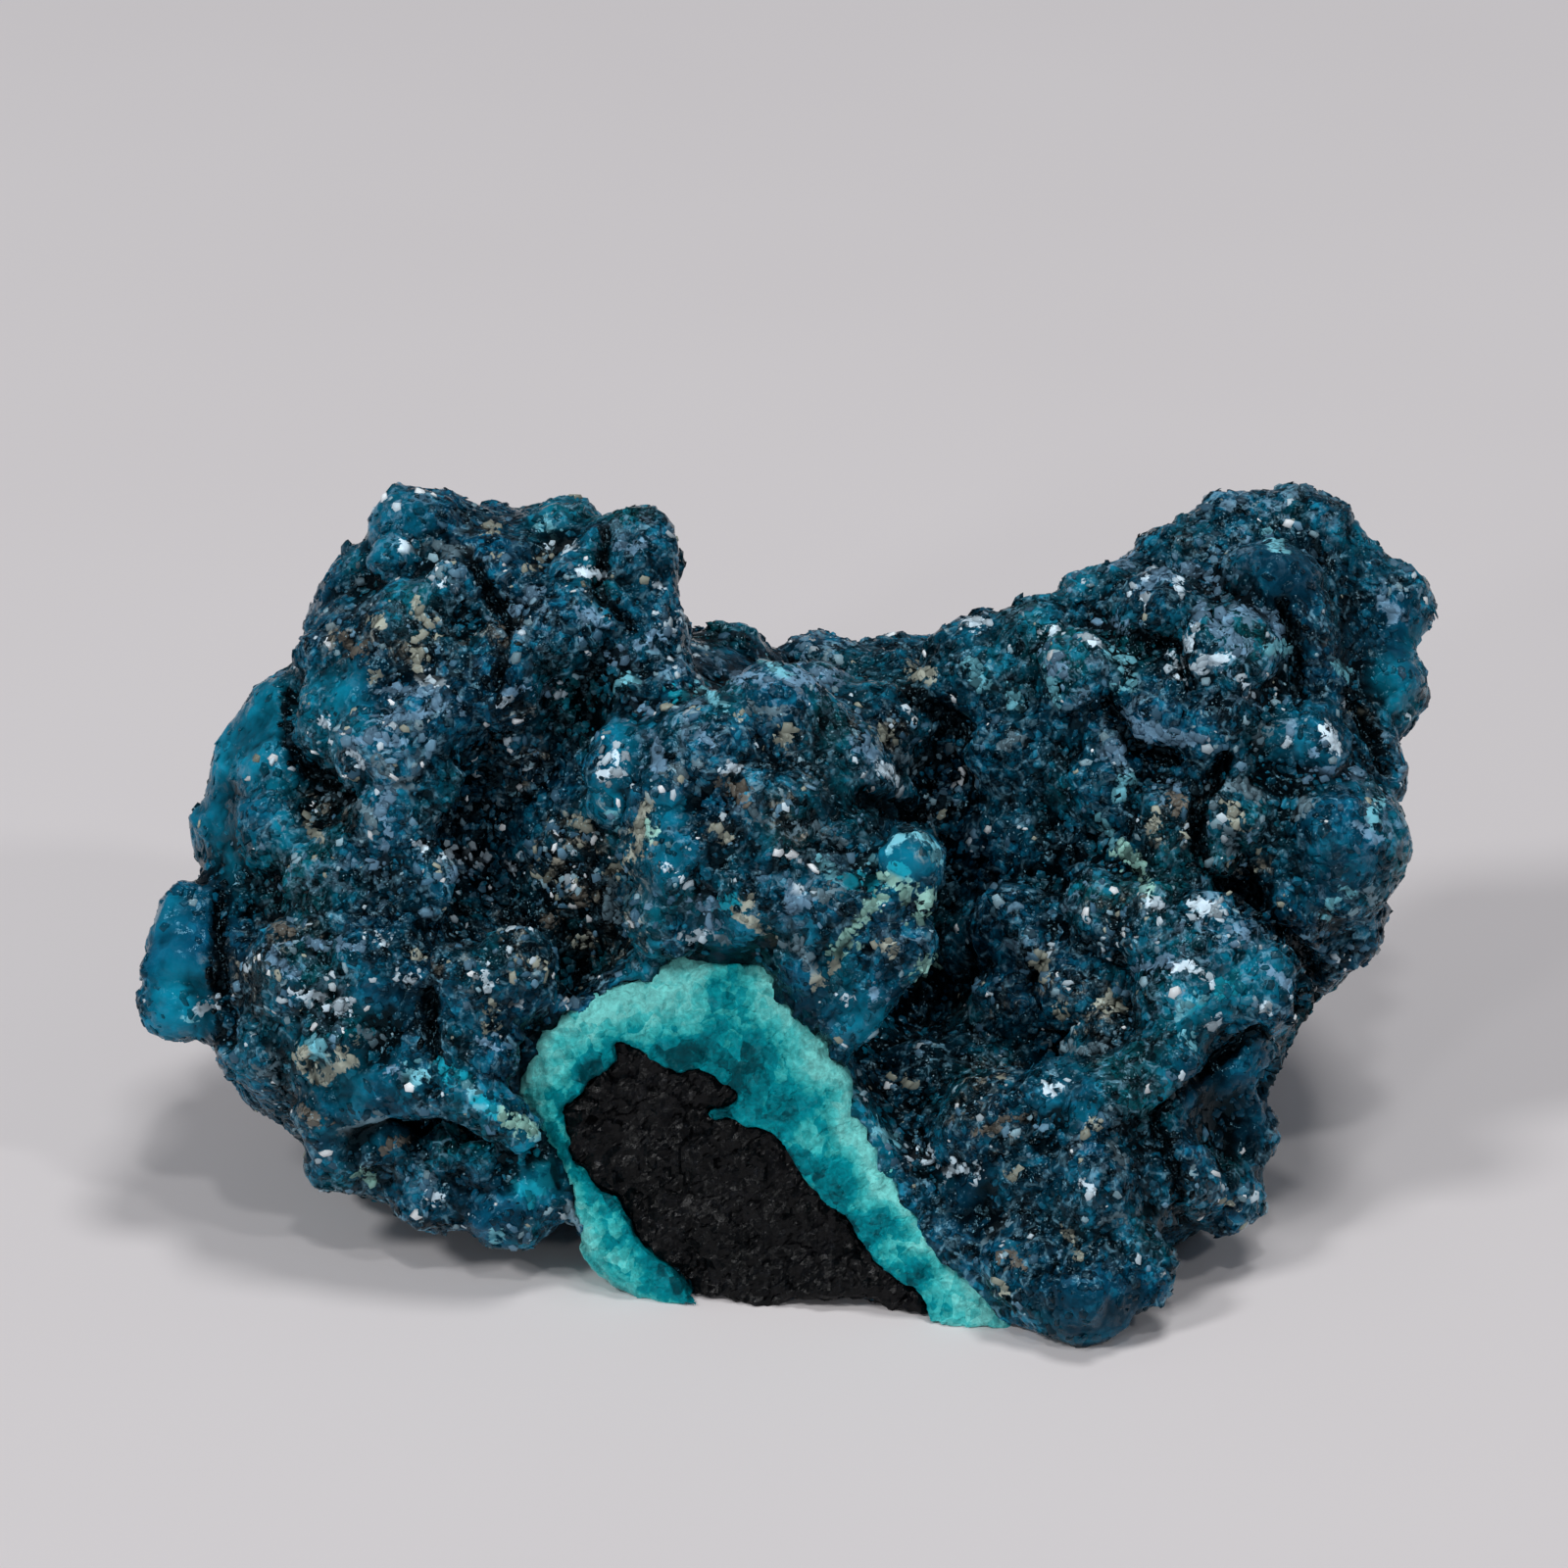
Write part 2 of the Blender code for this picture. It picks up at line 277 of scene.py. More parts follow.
# The broken face: its outline, the core's outline and how it turns from the display plane
broken = {
    "out": 0.3,
    "turn": -8.0,
    "tip": 2.0,
    "outline": [
        (-2.4, -0.6), (-3.8, 0.0), (-5.05, 0.55), (-5.75, 1.35), (-6.1, 2.1), (-6.5, 3.4), (-6.8, 4.4),
        (-7.35, 5.0), (-7.85, 5.95), (-7.6, 6.8), (-7.15, 7.65), (-6.5, 8.2), (-5.4, 8.95), (-4.5, 9.3),
        (-3.9, 9.5), (-3.5, 9.75), (-3.1, 9.95), (-2.6, 9.95), (-2.1, 9.8), (-1.7, 9.75), (-1.3, 9.75),
        (-0.9, 9.6), (-0.5, 9.3), (-0.1, 8.8), (0.5, 8.1), (1.1, 7.4), (1.75, 6.5),
        (1.95, 5.5), (2.45, 4.7), (2.8, 3.7), (3.5, 2.8), (4.3, 1.6), (5.35, 0.65), (5.8, 0.1), (6.6, -0.9),
    ],
    "core": [
        (-1.75, -0.8), (-2.9, 0.4), (-3.6, 1.3), (-4.6, 2.25), (-5.15, 3.0), (-6.2, 4.05), (-6.6, 5.0),
        (-6.45, 5.6), (-6.0, 6.05), (-5.05, 6.9), (-5.0, 7.4), (-4.5, 7.3), (-3.65, 6.8), (-1.75, 6.4),
        (-1.55, 5.85), (-2.2, 5.6), (-2.5, 5.3), (-1.25, 5.2), (-0.3, 4.7), (0.15, 4.05), (0.8, 3.2),
        (1.6, 2.55), (2.15, 1.8), (2.7, 1.1), (3.5, 0.4), (4.2, -0.9),
    ],
    # where the rind is clearer or chalkier than its depth tells: across, up, radius and strength
    "blots": [
        ("deep", -1.5, 7.3, 1.5, 0.34), ("deep", -5.6, 6.6, 0.6, 0.5), ("deep", -3.2, 7.3, 0.9, 0.4), ("deep", 0.2, 5.8, 1.0, 0.5),
        ("deep", 1.5, 3.7, 0.7, 0.45), ("deep", 2.6, 2.4, 0.7, 0.45), ("deep", 3.8, 1.1, 0.6, 0.35), ("deep", -1.8, 9.5, 0.8, 0.35), ("deep", -3.7, 1.0, 0.6, 0.35), ("deep", -1.9, 5.6, 0.4, 0.3), ("deep", -6.7, 4.4, 0.4, 0.3),
        ("pale", -4.8, 8.5, 1.2, 0.35), ("pale", -3.4, 8.9, 0.9, 0.3), ("pale", 0.4, 4.9, 0.5, 0.5), ("pale", 2.0, 4.6, 0.8, 0.25),
        ("deep", -5.2, 2.2, 1.2, 0.2), ("deep", -3.6, 0.6, 1.0, 0.3), ("pale", -6.8, 6.6, 0.8, 0.15), ("pale", 2.6, 3.4, 0.7, 0.25), ("pale", 0.6, 7.0, 0.8, 0.15), ("pale", -5.2, 2.2, 0.6, 0.2),
    ],
    "chips": (0.45, 0.14, 1),  # mm along the outlines between chips, how far they reach in mm, and their seed
    "rindGrain": 0.085,  # mm between the points of each surface
    "coreGrain": 0.1,
    "thick": 1.1,
    "recess": 0.28,  # the core lies this much lower than the rind
    "chip": (1.1, -0.8, 1.2, 2.7, 1.25, 3.0),  # the chip out of its foot: centre, then half sizes
}


def brokenFrame():
    turn = Matrix.Rotation(math.radians(broken["turn"]), 4, "Y")
    tip = Matrix.Rotation(math.radians(broken["tip"]), 4, "X")
    return displayFrame() @ Matrix.Translation((0, 0, broken["out"] * mm)) @ turn @ tip


def intoBroken(places):
    # places on the broken face in mm: across, up and how far in front of it
    inverse = np.array(brokenFrame().inverted())
    return (places @ inverse[:3, :3].T + inverse[:3, 3]) / mm


# What the druse looks like from place to place: across, up, radius and strength, as seen from the eye
zones = {
    "teal": [  # brighter teal: painted glow of light coming through thin places, and turquoise patches
        (-15.6, 15.6, 1.6, 0.6), (-16.0, 13.4, 1.3, 0.5), (-4.4, 16.0, 1.2, 0.4), (-3.6, 12.4, 1.3, 0.4), (-11.4, 22.0, 1.3, 0.25),
        (-15.2, 16.2, 1.5, 0.55), (-13.0, 17.0, 1.1, 0.9), (-14.2, 14.8, 0.5, 1.3), (-14.1, 13.4, 0.6, 1.6),
        (-15.9, 12.7, 0.7, 0.7), (-17.3, 8.6, 1.1, 0.9), (-17.2, 10.6, 1.3, 0.1), (-15.2, 7.2, 0.8, 0.45),
        (-7.1, 3.9, 0.9, 1.6), (-9.5, 6.4, 0.6, 0.5), (-8.4, 5.6, 0.5, 0.7), (12.5, 9.1, 0.9, 1.3),
        (11.2, 8.6, 0.7, 1.1), (13.4, 9.5, 0.8, 0.8), (2.6, 5.0, 0.7, 0.7), (4.0, 3.7, 0.5, 0.5),
        (3.3, 12.6, 0.9, 0.5), (16.5, 17.6, 0.7, 0.7), (17.8, 18.6, 0.5, 0.7), (-5.2, 14.4, 0.7, 0.6),
        (-3.4, 13.8, 0.6, 0.5), (2.0, 17.6, 0.8, 0.5), (1.5, 14.6, 0.8, 0.35), (-4.2, 10.0, 0.8, 0.6),
        (7.6, 20.2, 0.7, 0.5), (-6.6, 22.2, 0.8, 0.5), (2.1, 7.9, 0.8, 0.9), (1.6, 9.2, 0.6, 0.4), (-11.9, 6.1, 1.4, 0.35),
        (14.4, 16.0, 1.2, 0.25), (7.6, 6.0, 0.9, 0.35), (-12.9, 22.0, 0.9, 0.3), (-0.9, 9.9, 0.7, 0.8),
        (-2.2, 10.3, 0.8, 0.7), (15.8, 21.6, 0.7, 0.7), (8.0, 20.6, 0.7, 0.7), (17.0, 17.0, 0.7, 0.5),
    ],
    "haze": [  # grey to lavender: painted sheen of reflected sky on lump tops, where the grown points are densest
        (12.6, 18.6, 1.6, 0.9), (13.2, 22.2, 1.9, 0.8), (12.4, 21.6, 1.0, 0.7), (8.3, 17.8, 1.0, 0.7),
        (9.6, 16.3, 1.0, 0.7), (9.2, 15.4, 0.8, 0.7), (16.8, 19.7, 0.8, 0.8), (16.4, 13.8, 1.0, 0.7),
        (15.2, 12.0, 1.2, 0.4), (11.8, 10.6, 1.5, 0.8), (10.4, 9.4, 1.0, 0.5), (-3.0, 18.2, 1.5, 0.85),
        (-2.4, 12.2, 1.5, 0.6), (-3.4, 16.2, 1.4, 0.6), (0.2, 12.0, 1.3, 0.6), (-11.0, 16.6, 1.2, 0.6),
        (-11.4, 15.0, 0.9, 0.6), (0.0, 17.7, 1.5, 0.75), (1.2, 18.6, 0.9, 0.7), (-4.6, 21.8, 1.2, 0.25),
        (-7.8, 19.4, 1.2, 0.6), (-11.6, 22.2, 1.4, 0.5), (-9.4, 20.8, 1.2, 0.45), (-12.6, 18.6, 1.2, 0.3),
        (-8.8, 12.4, 1.3, 0.5), (-12.6, 12.0, 1.2, 0.4), (-13.2, 8.4, 1.1, 0.5), (7.0, 10.9, 1.3, 0.55),
        (3.2, 10.0, 1.0, 0.45), (-10.2, 3.2, 0.8, 0.3), (8.9, 4.4, 0.9, 0.35), (4.6, 14.0, 1.2, 0.3),
        (2.4, 15.6, 0.8, 0.6), (-1.6, 14.6, 0.7, 0.5), (9.2, 21.6, 0.8, 0.5), (-15.0, 14.6, 0.7, 0.4),
    ],
    "dark": [  # painted shade in hollows and under overhangs, and soot
        (-6.2, 11.0, 1.7, 0.9), (-15.4, 8.9, 0.9, 1.0), (-10.0, 9.0, 0.6, 0.9), (-9.9, 8.0, 0.5, 0.9),
        (-10.4, 10.4, 0.6, 0.9), (3.8, 7.2, 1.3, 0.9), (4.3, 11.4, 0.7, 1.0), (4.2, 9.0, 0.8, 1.0),
        (-9.8, 5.2, 0.5, 0.6), (-10.8, 5.3, 0.5, 0.6), (16.9, 11.0, 1.3, 0.5), (14.6, 9.0, 1.2, 0.5), (4.3, 16.8, 0.9, 0.7),
        (13.7, 20.4, 1.3, 0.8), (8.4, -0.4, 1.7, 0.6), (12.2, 6.0, 1.3, 0.45), (-11.4, 6.0, 1.4, 0.4), (5.4, 3.6, 1.0, 0.4), (-12.2, 3.4, 1.2, 0.4), (2.8, 14.0, 0.9, 0.9), (5.6, 14.0, 1.0, 0.5),
        (7.7, 12.9, 0.6, 0.8), (14.8, 8.2, 0.9, 0.8), (-13.4, 14.8, 0.5, 1.0), (11.4, 13.0, 0.5, 0.9),
        (12.2, 14.9, 0.6, 0.6), (12.9, 11.5, 0.6, 0.7), (14.8, 19.0, 0.8, 0.7), (15.1, 21.0, 0.5, 0.7),
        (16.4, 16.3, 0.6, 0.6), (11.3, 19.6, 0.9, 0.5), (-5.6, 18.2, 0.6, 0.8), (-8.0, 10.0, 0.8, 0.5),
        (5.2, 5.6, 1.3, 0.6), (7.4, 2.4, 0.7, 0.7), (11.2, 3.6, 0.6, 0.6), (10.2, 7.2, 0.5, 0.8),
        (-4.4, 20.2, 0.5, 0.5), (8.6, 16.9, 0.4, 0.6), (0.2, 13.9, 0.7, 0.5), (0.5, 16.1, 0.6, 0.5),
    ],
    "grit": [  # black oxide with pale grains in it
        (-5.9, 12.3, 1.6, 1.0), (-5.2, 10.6, 1.0, 1.0), (-15.5, 9.6, 0.9, 1.0), (-13.2, 14.0, 0.9, 1.0),
        (-12.4, 19.0, 1.0, 0.8), (-10.4, 18.6, 0.9, 0.6), (-7.6, 15.6, 1.1, 0.6), (-8.2, 18.7, 0.8, 0.5),
        (0.2, 13.9, 1.1, 0.8), (-2.0, 13.2, 0.5, 0.8), (-0.4, 15.9, 0.8, 0.7), (2.8, 16.4, 0.9, 0.8),
        (8.4, 8.0, 1.1, 0.9), (5.8, 5.6, 1.2, 0.8), (10.6, 13.7, 0.7, 0.9), (12.8, 12.2, 0.7, 0.7),
        (9.3, 11.0, 1.0, 0.7), (-14.2, 10.6, 0.8, 0.6), (-13.9, 5.4, 0.6, 0.6), (12.3, 14.3, 0.9, 0.4),
        (16.0, 16.7, 0.5, 0.7), (7.2, 9.5, 0.6, 0.7), (6.4, 1.5, 0.5, 0.7), (11.0, 21.5, 0.7, 0.4),
        (-8.4, 10.0, 1.4, 0.4), (3.9, 13.2, 0.6, 0.3), (5.4, 8.6, 0.9, 0.5), (7.9, 7.6, 0.7, 0.6),
    ],
    "clean": [  # smooth and clear, with few points
        (-17.3, 10.0, 1.9, 1.0), (-17.3, 8.2, 1.2, 0.8), (13.7, 20.5, 1.1, 1.0), (8.4, -0.6, 1.6, 0.8),
        (-3.3, 13.6, 0.9, 0.4), (-5.1, 14.4, 0.6, 0.45), (-12.2, 17.4, 0.8, 0.8), (0.2, 9.0, 0.9, 0.8),
        (-11.8, 5.9, 1.8, 0.7), (12.2, 6.4, 1.6, 0.7), (2.0, 8.0, 0.9, 0.6), (7.6, 5.8, 0.8, 0.5),
        (-15.4, 16.4, 1.3, 0.9), (-15.9, 14.2, 1.3, 0.8), (-16.4, 12.2, 1.0, 0.6), (-4.6, 15.8, 1.1, 0.4), (-3.6, 12.4, 1.2, 0.4),
        (-6.7, 21.6, 1.1, 0.5), (-11.4, 21.8, 1.4, 0.5), (-13.4, 19.8, 1.1, 0.5), (15.6, 12.9, 1.8, 0.6), (3.2, 12.6, 0.9, 0.9),
        (17.0, 18.4, 1.4, 0.6), (7.4, 6.2, 1.0, 0.7), (-0.8, 17.9, 1.4, 0.5), (2.2, 8.2, 1.2, 0.6), (14.6, 15.6, 1.3, 0.5),
        (-7.1, 3.9, 0.8, 0.9), (-8.4, 2.6, 1.3, 0.5), (14.4, 15.9, 1.0, 0.4), (-11.5, 8.7, 0.9, 0.5), (5.2, 3.0, 1.0, 0.5), (-1.6, 10.1, 0.9, 0.5),
    ],
}


def zoneStrength(name, seen, facing):
    total = np.zeros(len(seen))
    for across, up, radius, strength in zones[name]:
        reach = np.linalg.norm(seen - (across, up), axis=1) / radius
        total = np.maximum(total, strength * np.clip(1.35 - reach, 0, 1))
    return total * facing


# Crust: the whole stone's surface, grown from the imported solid
crust = {
    "coarse": 0.30,  # mm, the first remesh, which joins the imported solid
    "settle": 3,  # rounds of smoothing, which take its facets off
    "lumps": 420,
    "lumpSizes": (0.35, 0.85),  # radius in mm
    "lumpSink": 0.80,  # of the radius
    "lumpFree": 0.45,  # strength of a clean place that keeps small lumps off
    "lumpJitter": 0.13,  # of the radius, how far a named lump's points stray
    "spacing": 0.75,  # of two radii added up
    "voxel": 0.15,  # mm, the fine remesh
    "waves": (2.6, 0.30),  # mm long and mm high
    "buds": (1.3, 0.10),  # mm apart and mm high
    "blocks": ((1.1, 0.15), (0.5, 0.08)),
    "calm": 0.8,  # share of the blocks and buds that clean places lose
    "rough": 0.02,  # mm, the unevenness of single points
    "triangles": 196000,
    "footClear": 0.7,  # mm above the floor without lumps
    "seed": 5,
}

# The round lumps that show: across, up, out and radius in mm
namedLumps = [
    # upper left lobe
    (-10.3, 21.3, -4.4, 1.9), (-12.0, 20.0, -4.8, 1.65), (-6.7, 21.5, -4.2, 1.25), (-4.75, 20.8, -3.0, 1.75),
    (-8.4, 20.4, -2.8, 1.6), (-10.6, 19.0, -2.2, 1.6), (-6.4, 19.0, -1.7, 1.5), (-8.2, 17.8, -1.2, 1.5),
    (-12.7, 18.4, -3.0, 1.4), (-4.2, 18.9, -2.4, 1.5), (-11.6, 17.2, -1.8, 1.2), (-13.0, 19.0, -5.2, 1.3),
    (-6.2, 20.6, -2.2, 0.8), (-9.6, 20.3, -1.6, 0.7), (-11.2, 21.0, -3.0, 0.8), (-5.4, 19.5, -1.4, 0.7),
    # left rim
    (-14.4, 16.5, -4.6, 1.4), (-15.4, 15.1, -4.8, 1.5), (-16.0, 13.1, -4.6, 1.4), (-12.9, 16.6, -2.4, 1.3),
    (-14.6, 13.4, -2.6, 1.2), (-15.8, 11.4, -4.2, 1.4), (-14.6, 15.2, -3.2, 1.0), (-15.6, 12.5, -3.4, 0.7),
    # left ridge
    (-11.2, 15.8, -1.2, 1.5), (-9.8, 16.8, -0.8, 1.2), (-11.4, 13.6, -0.8, 1.2), (-12.6, 12.0, -1.2, 1.5),
    (-9.9, 14.6, -0.7, 0.9), (-10.4, 12.0, -0.6, 1.1), (-12.2, 15.2, -0.7, 0.6),
    # far left lobe
    (-17.0, 10.5, -3.6, 1.45), (-17.1, 8.6, -3.2, 1.40), (-15.8, 9.4, -2.6, 1.2), (-17.0, 9.5, -3.0, 1.40),
    # lower left slope
    (-13.8, 9.4, -0.8, 1.5), (-11.6, 9.6, -0.1, 1.4), (-9.3, 8.9, 0.1, 1.3), (-14.9, 7.3, -1.8, 1.4),
    (-12.6, 7.1, -0.4, 1.3), (-10.0, 7.0, 0.2, 1.2), (-7.6, 9.6, 0.0, 1.1), (-8.4, 7.2, 0.3, 1.0),
    # arched shell and the ledges under it
    (-13.2, 5.4, -0.7, 0.9), (-12.6, 5.9, -0.4, 0.9), (-11.8, 6.2, 0.0, 0.9), (-11.0, 6.4, 0.3, 0.9),
    (-10.2, 6.4, 0.5, 0.9), (-9.4, 6.2, 0.6, 0.9), (-8.7, 5.8, 0.7, 0.85), (-8.1, 5.3, 0.7, 0.8),
    (-7.6, 4.8, 0.6, 0.7), (-12.4, 4.4, -1.8, 1.2), (-10.2, 3.6, -1.4, 1.4), (-7.9, 3.0, -1.0, 1.3),
    (-7.3, 3.9, -0.9, 0.9), (-11.3, 4.5, -0.9, 0.9), (-9.7, 4.4, -0.6, 0.9), (-8.6, 4.1, -0.4, 0.8),
    # central lobe with its overhanging right lip
    (-3.8, 17.0, -1.4, 1.5), (-4.5, 15.3, -0.2, 1.4), (-2.4, 15.6, 0.3, 1.6), (-0.4, 16.4, -0.6, 1.7),
    (1.4, 15.2, -0.8, 1.5), (-0.6, 13.8, 0.9, 1.5), (-3.0, 13.0, 0.6, 1.6), (1.2, 13.4, 0.2, 1.3),
    (-1.2, 11.6, 0.9, 1.4), (1.0, 11.2, 1.0, 1.3), (-3.5, 11.0, 0.4, 1.2), (2.6, 11.4, 1.0, 1.1),
    (3.3, 12.55, 1.35, 1.0), (3.0, 10.1, 1.0, 1.05), (2.3, 9.0, 0.9, 1.1), (1.7, 8.1, 0.7, 0.95),
    (0.6, 9.8, 0.8, 1.1), (3.5, 11.6, 1.4, 0.5), (-3.2, 14.6, 1.2, 0.8), (-3.1, 12.2, 1.5, 0.8),
    (-5.0, 14.2, 0.3, 0.7), (-4.6, 17.4, -0.3, 0.5),
    # saddle and back rim
    (-2.0, 17.8, -7.6, 1.8), (0.8, 17.2, -9.4, 1.9), (3.2, 17.0, -8.6, 1.6), (2.6, 16.4, -4.6, 1.4),
    # right upper cluster
    (5.4, 18.0, -5.4, 1.7), (7.4, 18.4, -5.0, 1.6), (9.3, 19.8, -6.0, 1.5), (11.4, 21.0, -7.0, 1.5),
    (13.0, 21.9, -7.2, 1.45), (15.0, 22.0, -7.4, 1.35), (16.2, 20.6, -7.6, 1.5), (17.2, 20.0, -7.6, 1.5), (16.9, 17.3, -6.8, 1.5),
    (13.8, 20.2, -4.9, 1.55), (12.5, 18.4, -3.5, 1.65), (10.5, 19.3, -4.1, 1.55), (8.6, 17.6, -3.5, 1.45),
    (10.4, 16.8, -3.2, 1.4), (12.2, 16.2, -3.0, 1.3), (6.4, 15.6, -4.4, 1.4), (9.0, 14.8, -3.6, 1.4),
    (14.4, 15.9, -3.3, 1.5), (16.4, 15.2, -5.2, 1.4), (15.6, 12.9, -3.4, 2.05), (12.5, 13.8, -2.6, 1.25),
    (10.8, 13.4, -2.6, 1.3), (15.6, 10.6, -5.4, 1.6), (13.9, 11.0, -3.2, 1.4), (15.0, 17.6, -4.6, 1.2),
    # right lower lobes
    (12.0, 10.2, -0.8, 1.5), (13.1, 9.0, -0.4, 1.35), (11.0, 8.6, -0.4, 1.4), (10.4, 10.6, -1.6, 1.3),
    (10.2, 6.6, 0.2, 1.3), (12.4, 6.6, -1.8, 1.4), (12.7, 4.8, -2.0, 1.2), (12.3, 3.1, -1.6, 1.25),
    (10.6, 3.8, 0.2, 1.4), (9.4, 1.4, 1.4, 1.3), (8.2, 0.4, 1.8, 1.5), (6.8, 1.2, 1.2, 1.4),
    (8.4, 3.6, 1.4, 1.3), (6.6, 3.8, 0.6, 1.2), (5.2, 3.3, -0.2, 1.2), (5.6, 2.4, -0.4, 1.3), (7.6, 5.9, 0.5, 1.15),
    # floor of the right hollow
    (5.8, 10.4, -5.2, 1.7), (7.6, 7.4, -4.0, 1.5), (8.8, 11.8, -3.8, 1.4), (5.6, 7.4, -5.0, 1.4),
    (3.8, 6.4, -2.4, 1.1), (6.6, 13.0, -5.0, 1.5), (6.8, 10.4, -3.9, 1.8), (8.4, 9.0, -2.9, 1.7), (8.9, 10.9, -2.6, 1.5),
    (6.4, 8.4, -3.4, 1.4), (9.2, 7.0, -1.3, 1.4), (11.6, 12.2, -2.4, 1.1),
]


# Narrow dark gaps between lumps, cut into the surface and painted near black along them as shade: width and depth in
# mm, then across and up along them
crevices = [
    (0.25, 0.6, (12.2, 15.4), (11.5, 14.3), (11.4, 13.2), (11.6, 12.4), (12.3, 11.7), (12.9, 11.2)),
    (0.35, 0.7, (12.8, 11.9), (13.6, 10.8), (14.5, 9.65), (14.5, 7.75), (13.6, 6.2)),
    (0.25, 0.4, (13.9, 19.7), (14.3, 18.5), (14.3, 17.2)), (0.25, 0.4, (15.7, 17.3), (16.2, 16.2), (16.8, 15.1)),
    (0.2, 0.4, (10.2, 5.3), (11.2, 6.2), (12.1, 7.0), (13.2, 7.75)), (0.25, 0.3, (10.4, 4.9), (10.9, 3.6), (10.9, 2.4)),
    (0.2, 0.4, (-14.1, 17.3), (-14.2, 15.95), (-13.7, 15.2), (-12.4, 14.4)),
    (0.2, 0.35, (-5.2, 21.8), (-5.4, 20.1), (-4.4, 19.1)), (0.25, 0.3, (-9.1, 21.2), (-7.95, 19.3), (-8.3, 17.3)),
    (0.25, 0.4, (-16.0, 11.5), (-16.1, 9.1), (-15.9, 7.5)), (0.25, 0.35, (-10.2, 8.8), (-10.0, 7.0)),
    (0.35, 0.4, (2.0, 14.3), (2.8, 14.0), (3.6, 13.8)), (0.3, 0.3, (3.3, 17.3), (4.9, 16.2)),
    (0.25, 0.4, (8.9, 16.9), (9.6, 15.7), (10.8, 15.4)), (0.2, 0.3, (9.6, 18.9), (10.9, 18.6), (11.2, 17.4)),
]


def stoneShape():
    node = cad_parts["specimen"]
    shape = bmesh.new()
    shape.from_mesh(node.data)
    shape.transform(node.matrix_world)
    bmesh.ops.remove_doubles(shape, verts=shape.verts, dist=0.01 * mm)
    return shape


def lumpMesh(mesh):
    random = np.random.default_rng(crust["seed"])
    spots, normals, _ = surfaceSpots(mesh, crust["lumps"] * 4, random)
    face = intoBroken(spots)
    free = ~(inside(broken["outline"], face[:, :2]) & (np.abs(face[:, 2]) < 1.0))
    free &= spots[:, 2] > crust["footClear"] * mm
    free &= zoneStrength("clean", asSeen(spots)[0], 1.0) < crust["lumpFree"]
    low, high = crust["lumpSizes"]
    sizes = low + (high - low) * random.random(len(spots)) ** 2
    kept, cells = [], {}
    around = [(i, j, k) for i in (-1, 0, 1) for j in (-1, 0, 1) for k in (-1, 0, 1)]
    for index in np.flatnonzero(free):
        spot, size = spots[index], sizes[index]
        cell = tuple((spot // (1.4 * mm)).astype(int))
        near = (item for step in around for item in cells.get(tuple(np.add(cell, step)), ()))
        if all(np.linalg.norm(spot - spots[other]) > crust["spacing"] * (size + sizes[other]) * mm for other in near):
            cells.setdefault(cell, []).append(index)
            kept.append(index)
        if len(kept) == crust["lumps"]:
            break
    ball = bmesh.new()
    bmesh.ops.create_icosphere(ball, subdivisions=2, radius=1.0)
    wide = sizes[kept]
    centres = spots[kept] - normals[kept] * (wide * crust["lumpSink"] * mm)[:, None]
    print("small lumps:", len(kept))
    return tiled("lumps", ball, centres, normals[kept], wide, wide, random)


def makeCrust(material):
    piece = asPiece("druse_crust", meshOf(stoneShape(), "crust"), material)
    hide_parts("specimen")
    shapedBy(piece, "REMESH", mode="VOXEL", voxel_size=crust["coarse"] * mm)
    mesh = piece.data
    setPlaces(mesh, smoothed(mesh, readMesh(mesh.vertices, "co"), crust["settle"]))

    shape = bmesh.new()
    shape.from_mesh(mesh)
    lumps = lumpMesh(mesh)
    shape.from_mesh(lumps)
    random = np.random.default_rng(crust["seed"] + 2)
    for across, up, out, radius in namedLumps:
        place = Matrix.Translation(onPlane(across, up, out))
        ball = bmesh.ops.create_icosphere(shape, subdivisions=2, radius=radius * mm, matrix=place)["verts"]
        for corner in ball:
            corner.co += Vector(random.uniform(-1, 1, 3)) * (crust["lumpJitter"] * radius * mm)
    shape.to_mesh(mesh)
    shape.free()
    bpy.data.meshes.remove(lumps)
    shapedBy(piece, "REMESH", mode="VOXEL", voxel_size=crust["voxel"] * mm)
    mesh = piece.data
    print("crust remeshed:", len(mesh.polygons))

    random = np.random.default_rng(crust["seed"] + 1)
    places = readMesh(mesh.vertices, "co")
    normals = readMesh(mesh.vertex_normals, "vector")
    lift = np.zeros(len(places))
    size, height = crust["buds"]
    lift += height * (swells(places, size, 0.5) - 0.55)
    for size, height in crust["blocks"]:
        lift += height * blocks(places, size)
    lift *= 1 - crust["calm"] * np.clip(zoneStrength("clean", asSeen(places)[0], 1.0), 0, 1)
    size, height = crust["waves"]
    lift += height * drift(places, size)
    seen, _ = asSeen(places)
    facing = ((np.array(eye) - places) * normals).sum(1) > 0
    for width, depth, *route in crevices:
        close = near(route, seen, facing)
        lift[close] -= depth * np.clip(1.3 - routeDistance(route, seen[close]) / width, 0, 1)
    lift += random.uniform(-1, 1, len(places)) * crust["rough"]
    lift *= np.clip(places[:, 2] / (0.5 * mm), 0, 1)
    places += normals * (lift * mm)[:, None]

    # the surface behind the broken face steps back to make room for the rind and the core
    face = intoBroken(places)
    behind = inside(broken["outline"], face[:, :2]) & (face[:, 2] > -0.6) & (face[:, 2] < 0.8)
    behind &= edgeDistance(broken["outline"], face[:, :2]) > 0.2 + 0.35 * drift(places, 0.6)
    ahead = np.array(brokenFrame().col[2].to_3d())
    places[behind] -= ahead * ((face[behind, 2] + 0.7) * mm)[:, None]
    places[:, 2] = np.maximum(places[:, 2], 0.0)
    setPlaces(mesh, places)
    shapedBy(piece, "DECIMATE", ratio=min(1.0, crust["triangles"] / (2 * len(mesh.polygons))))
    piece.data.polygons.foreach_set("use_smooth", [True] * len(piece.data.polygons))
    piece.data.update()
    print("crust faces:", len(piece.data.polygons))
    return piece
